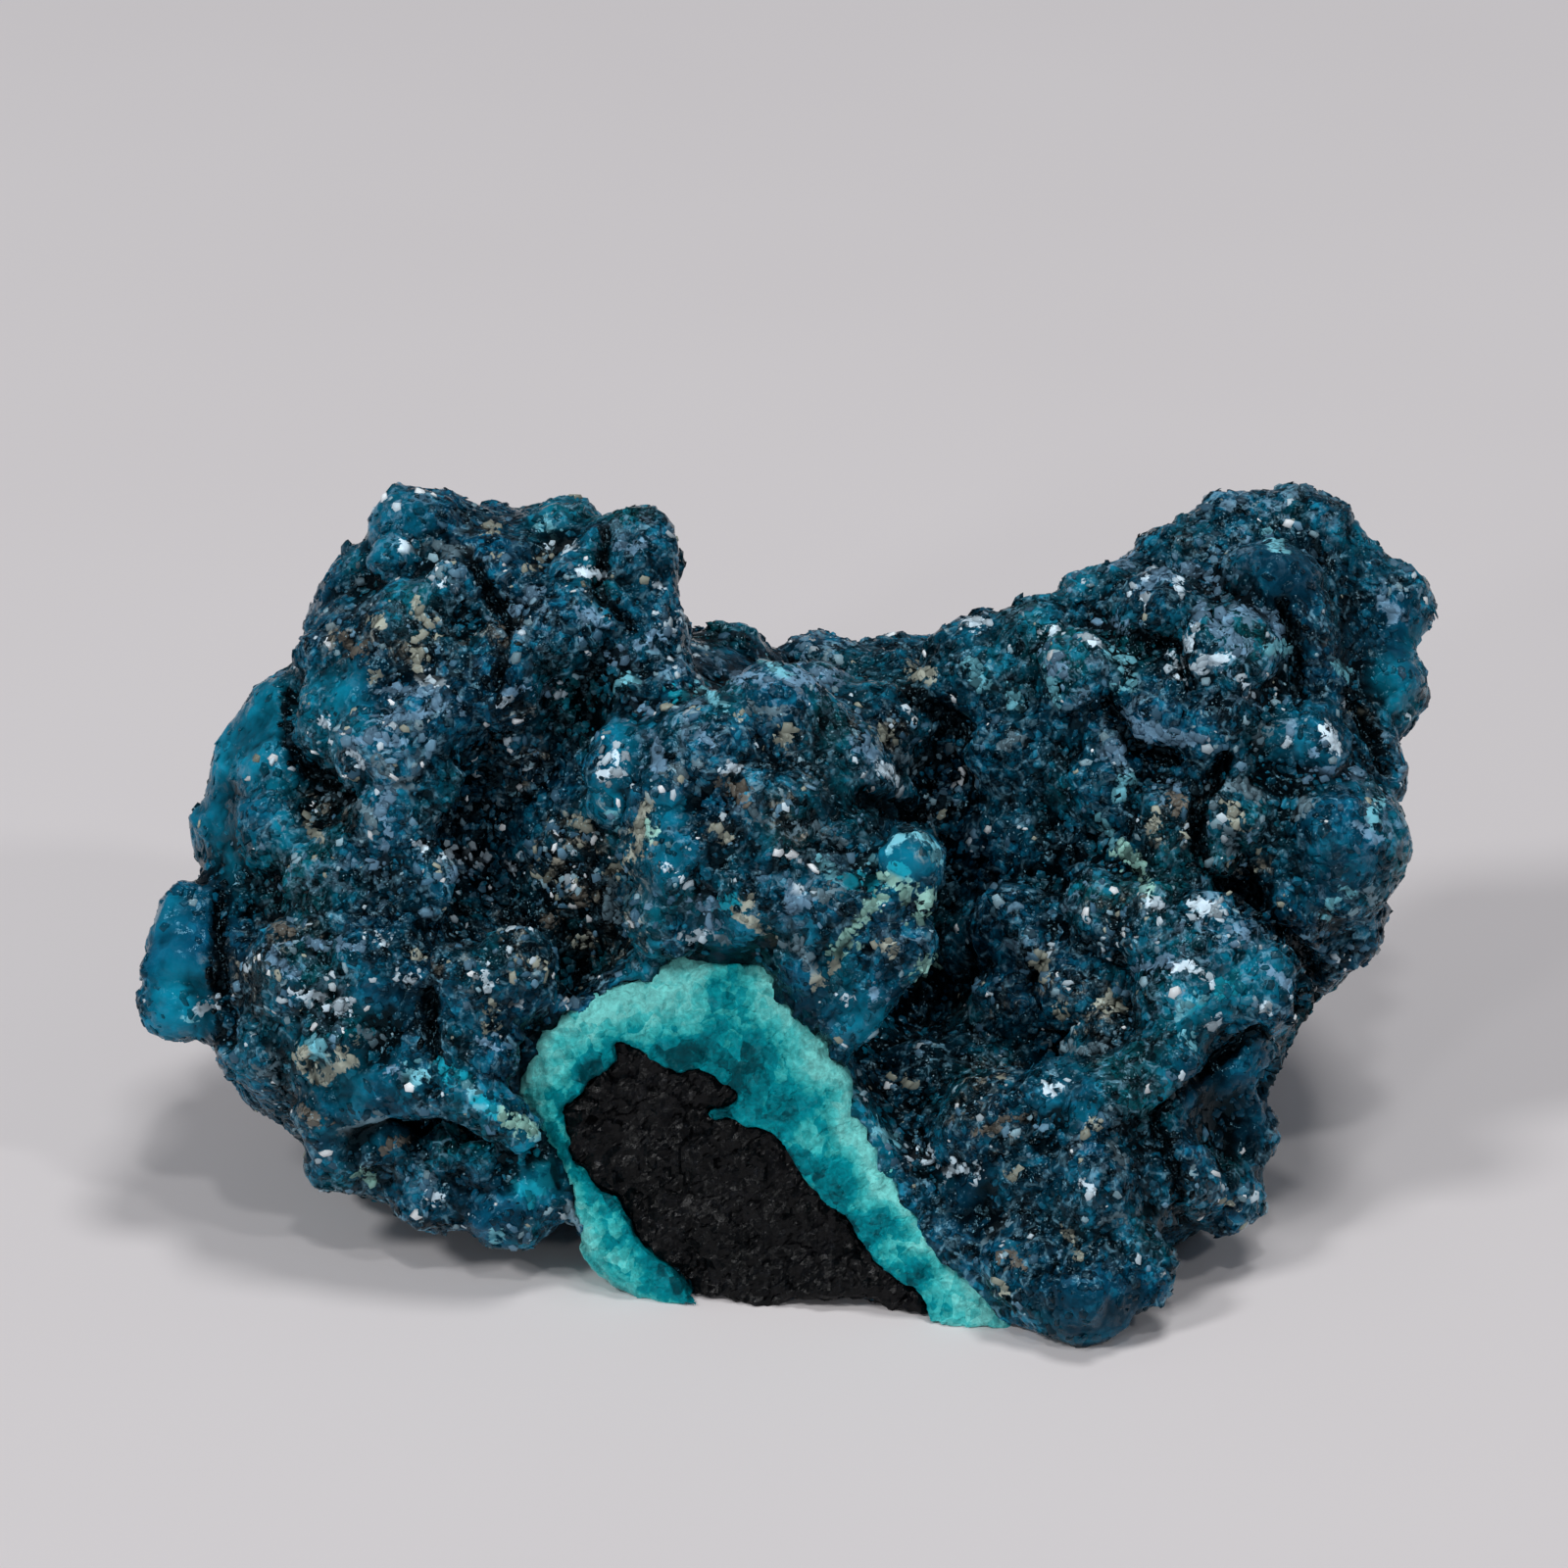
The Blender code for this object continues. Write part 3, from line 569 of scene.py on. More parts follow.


# Pale strands and spots in the crust: kind, width in mm, then across and up along them. The white and lavender ones are
# painted glints and highlights along lump edges; cream, tan, mint, aqua and turquoise are the mineral's own colours
strands = {
    "spread": (0.10, 0.7),  # mm, and of the width, to each side
    "shades": {
        "white": "#bfd4e0", "cream": "#999e91", "tan": "#635f57", "aqua": "#69adbd", "turquoise": "#1590a6",
        "mint": "#8fc0b5", "lavender": "#63869f", "grey": "#5c747f", "gap_shade": "#04080b",
    },
    "routes": [
        # upper left lobe
        ("cream", 0.14, (-7.2, 20.8), (-6.9, 21.1)), ("white", 0.16, (-6.8, 21.2), (-6.1, 21.4)),
        ("white", 0.14, (-5.9, 20.7), (-5.3, 20.55)), ("white", 0.14, (-9.75, 20.35), (-9.6, 20.4)),
        ("white", 0.12, (-10.95, 21.45), (-10.8, 21.35)), ("cream", 0.13, (-8.5, 21.9), (-8.35, 21.9)),
        ("aqua", 0.16, (-6.95, 22.1), (-6.85, 21.9), (-6.6, 21.6)), ("lavender", 0.14, (-5.9, 19.6), (-5.5, 19.3), (-5.2, 19.2)),
        ("white", 0.1, (-5.5, 19.3), (-5.2, 19.25)), ("white", 0.13, (-3.45, 19.05), (-3.15, 19.35)),
        ("lavender", 0.14, (-5.0, 18.2), (-4.3, 18.6), (-3.9, 18.85), (-3.4, 18.9)), ("cream", 0.15, (-11.7, 19.25), (-11.5, 19.2)),
        ("cream", 0.1, (-10.5, 19.9), (-10.5, 19.6), (-10.3, 19.3)), ("cream", 0.16, (-11.75, 17.75), (-11.6, 17.75)),
        ("tan", 0.12, (-8.1, 18.9), (-8.1, 18.5)), ("grey", 0.12, (-10.8, 21.1), (-10.2, 21.4), (-9.6, 21.2), (-9.0, 21.3)),
        ("lavender", 0.1, (-7.7, 19.6), (-7.4, 20.0), (-7.1, 20.1)), ("grey", 0.1, (-12.2, 20.6), (-12.0, 20.3)),
        ("tan", 0.12, (-12.7, 18.9), (-12.3, 18.5), (-11.9, 18.4)), ("cream", 0.1, (-10.6, 18.6), (-10.4, 18.2), (-10.5, 17.9)),
        ("white", 0.09, (-3.75, 20.3), (-3.7, 20.25)), ("lavender", 0.12, (-4.9, 21.4), (-4.4, 21.2), (-4.1, 21.5)),
        # ridge under it
        ("white", 0.1, (-10.4, 17.6), (-10.0, 17.6), (-9.7, 17.45)), ("lavender", 0.12, (-11.3, 17.35), (-10.6, 17.3), (-10.0, 17.25)),
        ("lavender", 0.1, (-11.5, 16.5), (-10.4, 16.6), (-9.9, 16.85), (-9.2, 16.85)), ("white", 0.12, (-8.25, 16.85), (-8.05, 16.95)),
        ("lavender", 0.09, (-8.0, 17.1), (-7.9, 17.3), (-7.1, 17.4), (-6.6, 17.35)), ("white", 0.1, (-6.6, 17.35), (-6.5, 17.35)),
        ("white", 0.15, (-12.35, 15.5), (-12.15, 15.3)), ("lavender", 0.1, (-12.4, 15.8), (-11.8, 16.0), (-11.3, 15.9), (-10.9, 15.8)),
        ("grey", 0.1, (-11.5, 15.3), (-11.2, 15.0), (-10.9, 14.6), (-10.6, 14.8)), ("white", 0.12, (-13.2, 16.4), (-13.05, 16.4)),
        ("lavender", 0.12, (-11.4, 14.4), (-11.5, 13.8), (-11.3, 13.3), (-11.4, 12.7), (-11.5, 12.2)),
        ("grey", 0.1, (-12.9, 14.4), (-12.3, 14.2), (-11.9, 13.9), (-11.6, 13.5)), ("cream", 0.12, (-13.5, 13.7), (-13.3, 13.3)),
        ("white", 0.12, (-10.5, 13.15), (-10.3, 12.9)), ("white", 0.17, (-9.65, 12.7), (-9.3, 12.75), (-9.0, 12.72)),
        ("white", 0.14, (-8.85, 12.5), (-8.65, 12.55)), ("lavender", 0.09, (-9.6, 12.05), (-9.3, 12.2), (-9.0, 12.2)),
        ("grey", 0.1, (-9.8, 13.6), (-9.2, 13.8), (-8.6, 14.1), (-8.2, 14.3)), ("white", 0.1, (-7.9, 12.5), (-7.7, 12.3)),
        # dark hollow beside the central lobe
        ("cream", 0.12, (-4.0, 14.1), (-4.2, 13.7), (-4.3, 13.4), (-4.2, 13.0), (-4.6, 12.5), (-5.1, 12.2)),
        ("grey", 0.14, (-5.0, 12.0), (-5.1, 11.6), (-5.0, 11.2), (-5.0, 10.8)), ("mint", 0.18, (-4.0, 13.4), (-3.8, 13.3)),
        ("cream", 0.12, (-6.2, 13.7), (-5.9, 13.5)), ("cream", 0.1, (-6.9, 12.0), (-6.7, 12.0)), ("tan", 0.14, (-6.9, 10.8), (-6.5, 10.9)),
        ("cream", 0.1, (-5.9, 10.1), (-5.5, 10.2)), ("tan", 0.12, (-5.9, 11.4), (-5.7, 11.5)), ("cream", 0.1, (-6.95, 9.7), (-6.85, 9.6)),
        # central lobe
        ("aqua", 0.2, (-4.95, 17.6), (-4.7, 17.65), (-4.4, 17.55)), ("turquoise", 0.24, (-3.25, 17.3), (-3.05, 17.2)),
        ("aqua", 0.1, (-2.6, 17.4), (-2.3, 17.2), (-1.9, 16.8)), ("white", 0.14, (-5.2, 15.4), (-4.9, 15.6), (-4.8, 15.3)),
        ("white", 0.1, (-5.3, 14.97), (-4.7, 14.97)), ("lavender", 0.14, (-4.4, 16.9), (-4.2, 16.7)), ("aqua", 0.1, (-5.1, 13.75), (-4.95, 13.75)),
        ("lavender", 0.16, (-3.8, 15.9), (-3.7, 15.5), (-3.8, 15.2)), ("grey", 0.12, (-3.4, 15.0), (-3.0, 15.1), (-2.7, 15.2)),
        ("lavender", 0.18, (-2.5, 16.1), (-2.2, 15.7)), ("white", 0.12, (-1.85, 15.1), (-1.5, 15.15)), ("cream", 0.1, (-1.45, 16.55), (-1.35, 16.5)),
        ("cream", 0.13, (-0.4, 15.95), (0.0, 16.05)), ("tan", 0.22, (-1.8, 14.6), (-1.4, 14.4)), ("grey", 0.18, (-1.3, 13.9), (-0.9, 13.7)),
        ("cream", 0.15, (-2.05, 13.4), (-1.95, 13.1)), ("grey", 0.1, (-0.3, 13.2), (0.4, 13.5), (1.0, 13.4), (1.5, 13.1)),
        ("turquoise", 0.24, (-1.8, 11.35), (-1.65, 11.3)), ("lavender", 0.2, (-2.65, 11.4), (-2.5, 11.2)), ("lavender", 0.22, (-2.25, 10.85), (-2.15, 10.75)),
        ("white", 0.17, (-2.9, 10.4), (-2.6, 10.47), (-2.4, 10.45)), ("grey", 0.12, (-1.9, 10.4), (-1.8, 10.3)), ("white", 0.1, (-3.5, 12.4), (-3.3, 12.3)),
        ("cream", 0.12, (-1.2, 11.3), (-1.5, 11.05), (-1.2, 10.85), (-0.8, 10.7), (-0.5, 10.3)), ("grey", 0.14, (0.0, 10.2), (0.4, 9.9), (0.6, 9.5)),
        ("lavender", 0.2, (0.0, 11.7), (0.3, 11.4), (0.1, 11.1)), ("white", 0.12, (0.1, 11.75), (0.2, 11.7)), ("grey", 0.16, (0.8, 11.6), (1.3, 11.6)),
        ("aqua", 0.16, (0.75, 12.55), (1.0, 12.3), (1.2, 12.1)), ("turquoise", 0.24, (1.7, 12.0), (2.0, 11.95), (2.4, 11.95)),
        ("aqua", 0.12, (1.9, 12.3), (2.4, 12.6)), ("mint", 0.2, (2.8, 12.1), (3.2, 11.8), (3.3, 11.5), (3.5, 11.8)), ("mint", 0.14, (3.9, 11.6), (3.7, 11.1), (3.4, 10.8)),
        ("mint", 0.15, (2.6, 11.6), (2.3, 11.3), (2.1, 11.0), (1.8, 10.7)), ("mint", 0.22, (1.7, 10.5), (1.5, 10.2), (1.35, 10.0)),
        ("cream", 0.14, (1.3, 9.7), (1.15, 9.5), (0.95, 9.2), (0.65, 9.1)), ("cream", 0.15, (2.6, 10.15), (2.9, 10.1)),
        ("mint", 0.17, (3.95, 9.7), (3.75, 9.5), (3.55, 9.2)), ("white", 0.12, (1.45, 8.65), (1.75, 8.6)), ("lavender", 0.14, (2.3, 8.9), (2.5, 8.6)),
        ("aqua", 0.05, (2.75, 12.9), (3.1, 13.25), (3.6, 13.3), (4.05, 12.95), (4.2, 12.5)), ("turquoise", 0.2, (2.9, 12.4), (3.2, 12.2)),
        # ledge behind it and the saddle
        ("lavender", 0.15, (-1.6, 17.7), (-0.6, 17.6), (0.3, 17.6), (1.3, 17.55)), ("lavender", 0.13, (0.2, 17.95), (0.8, 17.8), (1.4, 17.8)),
        ("grey", 0.1, (-1.2, 16.85), (-0.5, 16.75), (0.0, 16.75)), ("aqua", 0.08, (-0.6, 18.15), (-0.2, 17.75)),
        ("lavender", 0.22, (1.8, 15.8), (2.2, 15.5)), ("white", 0.16, (2.55, 15.2), (2.9, 14.95)), ("grey", 0.12, (3.0, 15.5), (3.6, 15.3), (4.2, 15.6), (4.6, 15.6)),
        ("cream", 0.15, (2.6, 16.15), (2.7, 16.0)), ("cream", 0.24, (3.5, 17.85), (3.9, 17.8)), ("white", 0.24, (5.05, 19.2), (5.35, 19.25)),
        ("aqua", 0.13, (5.0, 18.1), (5.3, 17.8), (5.5, 17.4)), ("aqua", 0.11, (6.3, 17.3), (6.25, 17.0), (6.4, 16.8)), ("grey", 0.12, (5.9, 15.8), (6.6, 15.9)),
        # right cluster
        ("white", 0.12, (7.1, 19.0), (7.5, 19.05)), ("white", 0.14, (8.35, 18.75), (8.6, 18.6)), ("aqua", 0.14, (8.9, 18.4), (9.4, 18.1), (9.5, 17.7), (9.4, 17.35), (9.1, 17.35)),
        ("lavender", 0.12, (8.6, 19.1), (9.1, 19.2), (9.5, 19.0)), ("aqua", 0.11, (7.3, 17.6), (7.45, 17.1)), ("lavender", 0.1, (7.2, 17.9), (7.7, 18.0)),
        ("lavender", 0.16, (9.8, 20.1), (10.3, 20.55), (11.0, 20.75), (11.7, 20.6), (12.0, 20.25)), ("white", 0.13, (10.85, 20.5), (10.9, 20.1)),
        ("white", 0.1, (10.0, 20.55), (10.3, 20.6)), ("white", 0.12, (9.75, 20.1), (9.85, 19.75)), ("lavender", 0.11, (11.5, 19.7), (11.35, 19.2)),
        ("white", 0.11, (11.35, 19.2), (11.25, 18.9), (11.2, 18.5)), ("white", 0.1, (10.85, 18.2), (10.85, 17.7)),
        ("white", 0.14, (11.45, 17.95), (11.7, 18.15), (12.2, 18.2)), ("lavender", 0.24, (11.9, 19.1), (12.3, 18.9), (12.6, 18.5)),
        ("lavender", 0.14, (12.2, 19.4), (12.9, 19.6), (13.5, 19.4), (13.8, 18.9)), ("aqua", 0.12, (13.4, 18.6), (13.8, 18.5)), ("white", 0.1, (12.7, 17.5), (12.8, 17.2)),
        ("lavender", 0.15, (9.4, 16.6), (9.8, 16.2), (10.4, 16.1), (10.9, 15.95), (11.4, 15.9)), ("lavender", 0.2, (8.8, 15.5), (9.2, 15.5)),
        ("aqua", 0.15, (9.1, 14.3), (9.3, 14.7), (9.6, 14.8)), ("lavender", 0.1, (10.2, 15.05), (10.5, 14.75), (10.9, 14.5)), ("tan", 0.16, (10.7, 14.4), (11.0, 14.1)),
        ("cream", 0.15, (10.2, 13.8), (10.15, 13.4)), ("white", 0.12, (11.5, 14.2), (11.6, 14.1)), ("mint", 0.22, (9.3, 12.85), (9.5, 12.65), (9.75, 12.4)),
        ("mint", 0.16, (9.8, 12.3), (10.0, 11.8)), ("aqua", 0.12, (8.8, 13.4), (9.1, 13.0)), ("white", 0.1, (10.1, 11.4), (10.2, 11.3)),
        ("cream", 0.2, (12.3, 14.0), (12.5, 13.7), (12.6, 13.6)), ("grey", 0.13, (11.8, 14.3), (12.2, 14.6), (12.7, 14.7), (13.1, 14.3)),
        ("grey", 0.11, (12.2, 13.3), (12.4, 12.8)), ("cream", 0.1, (12.95, 12.4), (12.95, 12.1)), ("grey", 0.16, (13.0, 15.7), (13.3, 16.1), (13.5, 16.4)),
        ("white", 0.15, (13.9, 15.9), (14.0, 15.95)), ("lavender", 0.12, (14.0, 16.4), (14.05, 16.1)), ("lavender", 0.14, (14.6, 15.5), (14.9, 15.8)),
        ("white", 0.13, (15.0, 16.3), (15.15, 16.0), (15.3, 15.65)), ("lavender", 0.1, (14.3, 15.0), (15.0, 15.05), (15.4, 15.0), (16.0, 14.9)),
        ("aqua", 0.15, (16.5, 14.2), (16.3, 13.9), (16.4, 13.6)), ("lavender", 0.14, (15.9, 13.5), (16.2, 13.3), (16.5, 13.2)), ("grey", 0.2, (14.2, 13.9), (14.5, 14.2)),
        ("aqua", 0.15, (15.55, 11.7), (15.7, 11.6)), ("aqua", 0.12, (15.1, 11.4), (15.25, 11.3)), ("aqua", 0.12, (15.0, 10.95), (15.15, 11.05)),
        ("grey", 0.15, (16.2, 11.7), (16.4, 11.4)), ("lavender", 0.24, (16.6, 19.7), (16.9, 19.4)), ("aqua", 0.12, (15.3, 18.1), (15.6, 17.8)),
        ("cream", 0.13, (15.8, 16.8), (15.95, 16.7)), ("aqua", 0.13, (13.4, 21.6), (13.7, 21.3)), ("lavender", 0.12, (9.0, 21.0), (9.4, 21.0)),
        # right lower lobes
        ("white", 0.15, (11.3, 11.35), (11.7, 11.25), (12.0, 11.0)), ("white", 0.13, (11.3, 11.05), (11.6, 11.1)), ("lavender", 0.2, (12.5, 10.6), (12.7, 10.4)),
        ("white", 0.1, (10.7, 9.5), (11.2, 9.6), (11.5, 9.4), (11.8, 9.2)), ("lavender", 0.14, (9.6, 9.4), (10.1, 9.6), (10.6, 9.8)),
        ("lavender", 0.14, (13.2, 9.6), (13.6, 9.35), (13.9, 9.1)), ("white", 0.12, (13.3, 8.5), (13.4, 8.3)), ("turquoise", 0.2, (12.5, 9.3), (12.3, 9.1), (12.0, 8.9)),
        ("aqua", 0.15, (11.5, 8.7), (11.1, 8.5), (10.95, 8.2)), ("turquoise", 0.22, (11.4, 8.6), (11.2, 8.4)), ("white", 0.18, (11.7, 7.95), (11.9, 8.05)),
        ("aqua", 0.14, (11.0, 7.6), (11.3, 7.4)), ("cream", 0.13, (7.05, 9.85), (7.0, 9.4)), ("cream", 0.14, (9.0, 8.8), (9.2, 8.4), (8.7, 8.5)),
        ("cream", 0.12, (7.5, 8.4), (7.55, 8.2)), ("grey", 0.1, (7.1, 7.25), (7.8, 7.3), (8.5, 7.2), (8.9, 7.5)), ("white", 0.1, (7.1, 6.3), (7.3, 6.0), (7.5, 6.2)),
        ("cream", 0.12, (8.4, 5.3), (8.4, 4.95)), ("grey", 0.1, (9.0, 4.6), (9.2, 4.2), (9.4, 4.1)), ("white", 0.1, (8.2, 3.5), (8.5, 3.3)),
        ("white", 0.14, (3.25, 4.05), (3.6, 4.3), (3.95, 4.2)), ("white", 0.15, (4.4, 3.85), (4.8, 3.9)), ("white", 0.13, (5.1, 3.7), (5.3, 3.65)),
        ("cream", 0.1, (6.1, 3.75), (6.3, 3.75)), ("aqua", 0.14, (2.45, 5.0), (2.65, 4.9), (2.85, 4.7)), ("tan", 0.12, (5.4, 4.9), (5.9, 5.2), (6.2, 5.4)),
        ("cream", 0.1, (7.8, 2.1), (8.0, 1.8), (8.15, 1.6)), ("tan", 0.14, (6.1, 1.5), (6.3, 1.3), (6.4, 1.1)), ("cream", 0.12, (5.95, 0.55), (6.05, 0.45)),
        ("grey", 0.1, (8.8, 2.5), (9.3, 2.55)), ("cream", 0.1, (12.3, 2.9), (12.5, 2.8)), ("grey", 0.1, (5.4, 1.9), (5.7, 2.2), (6.1, 2.5)), ("cream", 0.1, (3.2, 6.4), (3.25, 6.3)),
        # lower left slope
        ("cream", 0.22, (-13.7, 7.3), (-13.6, 6.8), (-13.3, 6.45), (-12.95, 6.6)), ("aqua", 0.24, (-13.4, 7.3), (-13.2, 7.05)), ("cream", 0.14, (-12.7, 7.1), (-12.5, 7.2)),
        ("cream", 0.14, (-12.7, 6.75), (-12.2, 6.85)), ("tan", 0.18, (-14.4, 10.7), (-14.1, 10.4)), ("tan", 0.22, (-13.7, 5.5), (-13.4, 5.3)),
        ("white", 0.12, (-13.9, 8.9), (-13.5, 8.8), (-13.1, 8.7)), ("white", 0.1, (-12.8, 8.5), (-12.6, 8.6)), ("white", 0.09, (-12.4, 8.6), (-12.5, 8.2)),
        ("lavender", 0.14, (-14.6, 10.0), (-14.2, 9.5), (-13.9, 9.3)), ("lavender", 0.1, (-13.6, 10.2), (-12.9, 10.25), (-12.2, 10.1)), ("white", 0.12, (-11.5, 10.4), (-11.4, 10.3)),
        ("cream", 0.15, (-10.65, 10.0), (-10.5, 9.85)), ("white", 0.12, (-10.9, 9.25), (-10.5, 9.35)), ("white", 0.13, (-8.55, 9.35), (-8.45, 9.05)),
        ("cream", 0.14, (-8.6, 8.4), (-8.4, 8.2), (-8.5, 7.8)), ("lavender", 0.1, (-8.7, 7.45), (-8.2, 7.35)), ("white", 0.1, (-7.8, 8.5), (-7.6, 8.5)), ("grey", 0.1, (-11.9, 7.7), (-11.4, 7.4)),
        ("white", 0.18, (-16.55, 8.3), (-16.3, 8.45)), ("aqua", 0.12, (-16.9, 8.1), (-16.7, 8.2)), ("grey", 0.1, (-14.7, 7.2), (-14.4, 6.7), (-14.9, 6.5)),
        ("turquoise", 0.2, (-9.9, 6.9), (-9.4, 6.6), (-9.0, 6.3)), ("aqua", 0.2, (-9.0, 6.25), (-8.9, 6.05)), ("turquoise", 0.24, (-8.8, 5.9), (-8.3, 5.5)), ("aqua", 0.16, (-8.75, 5.75), (-8.55, 5.65)),
        ("mint", 0.2, (-8.2, 5.5), (-7.6, 5.2), (-7.2, 4.9)), ("aqua", 0.14, (-7.1, 4.8), (-6.9, 4.4)), ("turquoise", 0.34, (-7.2, 4.1), (-6.8, 3.9), (-6.8, 3.5), (-7.2, 3.4)),
        ("turquoise", 0.2, (-7.7, 3.4), (-7.4, 3.2)), ("white", 0.13, (-9.95, 3.1), (-9.85, 3.05)), ("aqua", 0.1, (-8.35, 2.1), (-8.2, 2.05)), ("mint", 0.12, (-12.0, 3.8), (-11.7, 3.5)),
        ("tan", 0.14, (-11.3, 4.5), (-10.8, 4.8)), ("grey", 0.13, (-6.3, 2.9), (-6.0, 2.5), (-6.1, 2.1)), ("grey", 0.1, (-12.6, 4.95), (-12.0, 5.1), (-11.4, 5.3)),
        ("aqua", 0.1, (-10.5, 6.7), (-10.2, 6.5), (-10.6, 6.3), (-10.8, 6.5), (-10.5, 6.7)), ("lavender", 0.13, (-11.2, 6.7), (-11.0, 6.5)),
    ],
}


def paintStrands(seen, open):
    # how much of a strand each place is, and in which colour
    strength, shades = np.zeros(len(seen)), np.zeros((len(seen), 3))
    least, share = strands["spread"]
    routes = [(kind, least + share * width, route) for kind, width, *route in strands["routes"]]
    # near black along every gap: painted shade
    routes += [("gap_shade", width, route) for width, _, *route in crevices]
    for kind, reach, route in routes:
        close = near(route, seen, open)
        here = np.clip(1.5 - routeDistance(route, seen[close]) / reach, 0, 1)
        stronger = here > strength[close]
        strength[close[stronger]] = here[stronger]
        shades[close[stronger]] = linear(strands["shades"][kind])[:3]
    return strength, shades


def inSight(mesh, places, normals):
    # True for each vertex that the eye sees with nothing in the way
    shape = bmesh.new()
    shape.from_mesh(mesh)
    tree = BVHTree.FromBMesh(shape)
    shape.free()
    found = ((np.array(eye) - places) * normals).sum(1) > 0
    for index in np.flatnonzero(found):
        start = Vector(places[index] + 0.1 * mm * normals[index])
        found[index] = tree.ray_cast(start, eye - start)[0] is None
    return found


def paintCrust(piece):
    mesh = piece.data
    places, normals = readMesh(mesh.vertices, "co"), readMesh(mesh.vertex_normals, "vector")
    seen, _ = asSeen(places)
    facing = ((np.array(eye) - places) * normals).sum(1) > 0
    rise = ((places - smoothed(mesh, places, 10)) * normals).sum(1) / mm
    swell = ((places - smoothed(mesh, places, 80)) * normals).sum(1) / mm
    found = {name: zoneStrength(name, seen, facing) for name in zones}
    wander = 0.5 * drift(places, 1.2)
    for name in zones:
        found[name] = np.clip(found[name] + wander * (found[name] > 0.05), 0, 1.2)
    found["rise"] = np.clip(0.5 + rise * 4, 0, 1)
    found["swell"] = np.clip(0.5 + swell * 1.2, 0, 1)
    found["foot"] = places[:, 2] < 0.03 * mm
    found["facing"] = facing
    found["strand"], found["strandShade"] = paintStrands(seen, inSight(mesh, places, normals))
    paint(mesh, **found)
    return found


def facetNormal(tree, place, width, turn, settle=None):
    # flat facets about this many mm wide, each turned its own way, so that some catch a lamp and most don't
    cell = addNode(tree, "ShaderNodeTexVoronoi", {"Scale": 1 / (width * mm)}, {"Vector": place}).outputs["Color"]
    tilt = addNode(tree, "ShaderNodeVectorMath", {"operation": "SUBTRACT", 1: (0.5, 0.5, 0.5)}, {0: cell}).outputs["Vector"]
    tilt = addNode(tree, "ShaderNodeVectorMath", {"operation": "SCALE", "Scale": turn}, {0: tilt})
    if settle:
        amount = addNode(tree, "ShaderNodeMapRange", {"To Min": turn, "To Max": turn * 0.25}, {"Value": settle}).outputs[0]
        tree.links.new(amount, tilt.inputs["Scale"])
    normal = addNode(tree, "ShaderNodeNewGeometry").outputs["Normal"]
    turned = addNode(tree, "ShaderNodeVectorMath", {"operation": "ADD"}, {0: tilt.outputs["Vector"], 1: normal}).outputs["Vector"]
    return addNode(tree, "ShaderNodeVectorMath", {"operation": "NORMALIZE"}, {0: turned}).outputs["Vector"]


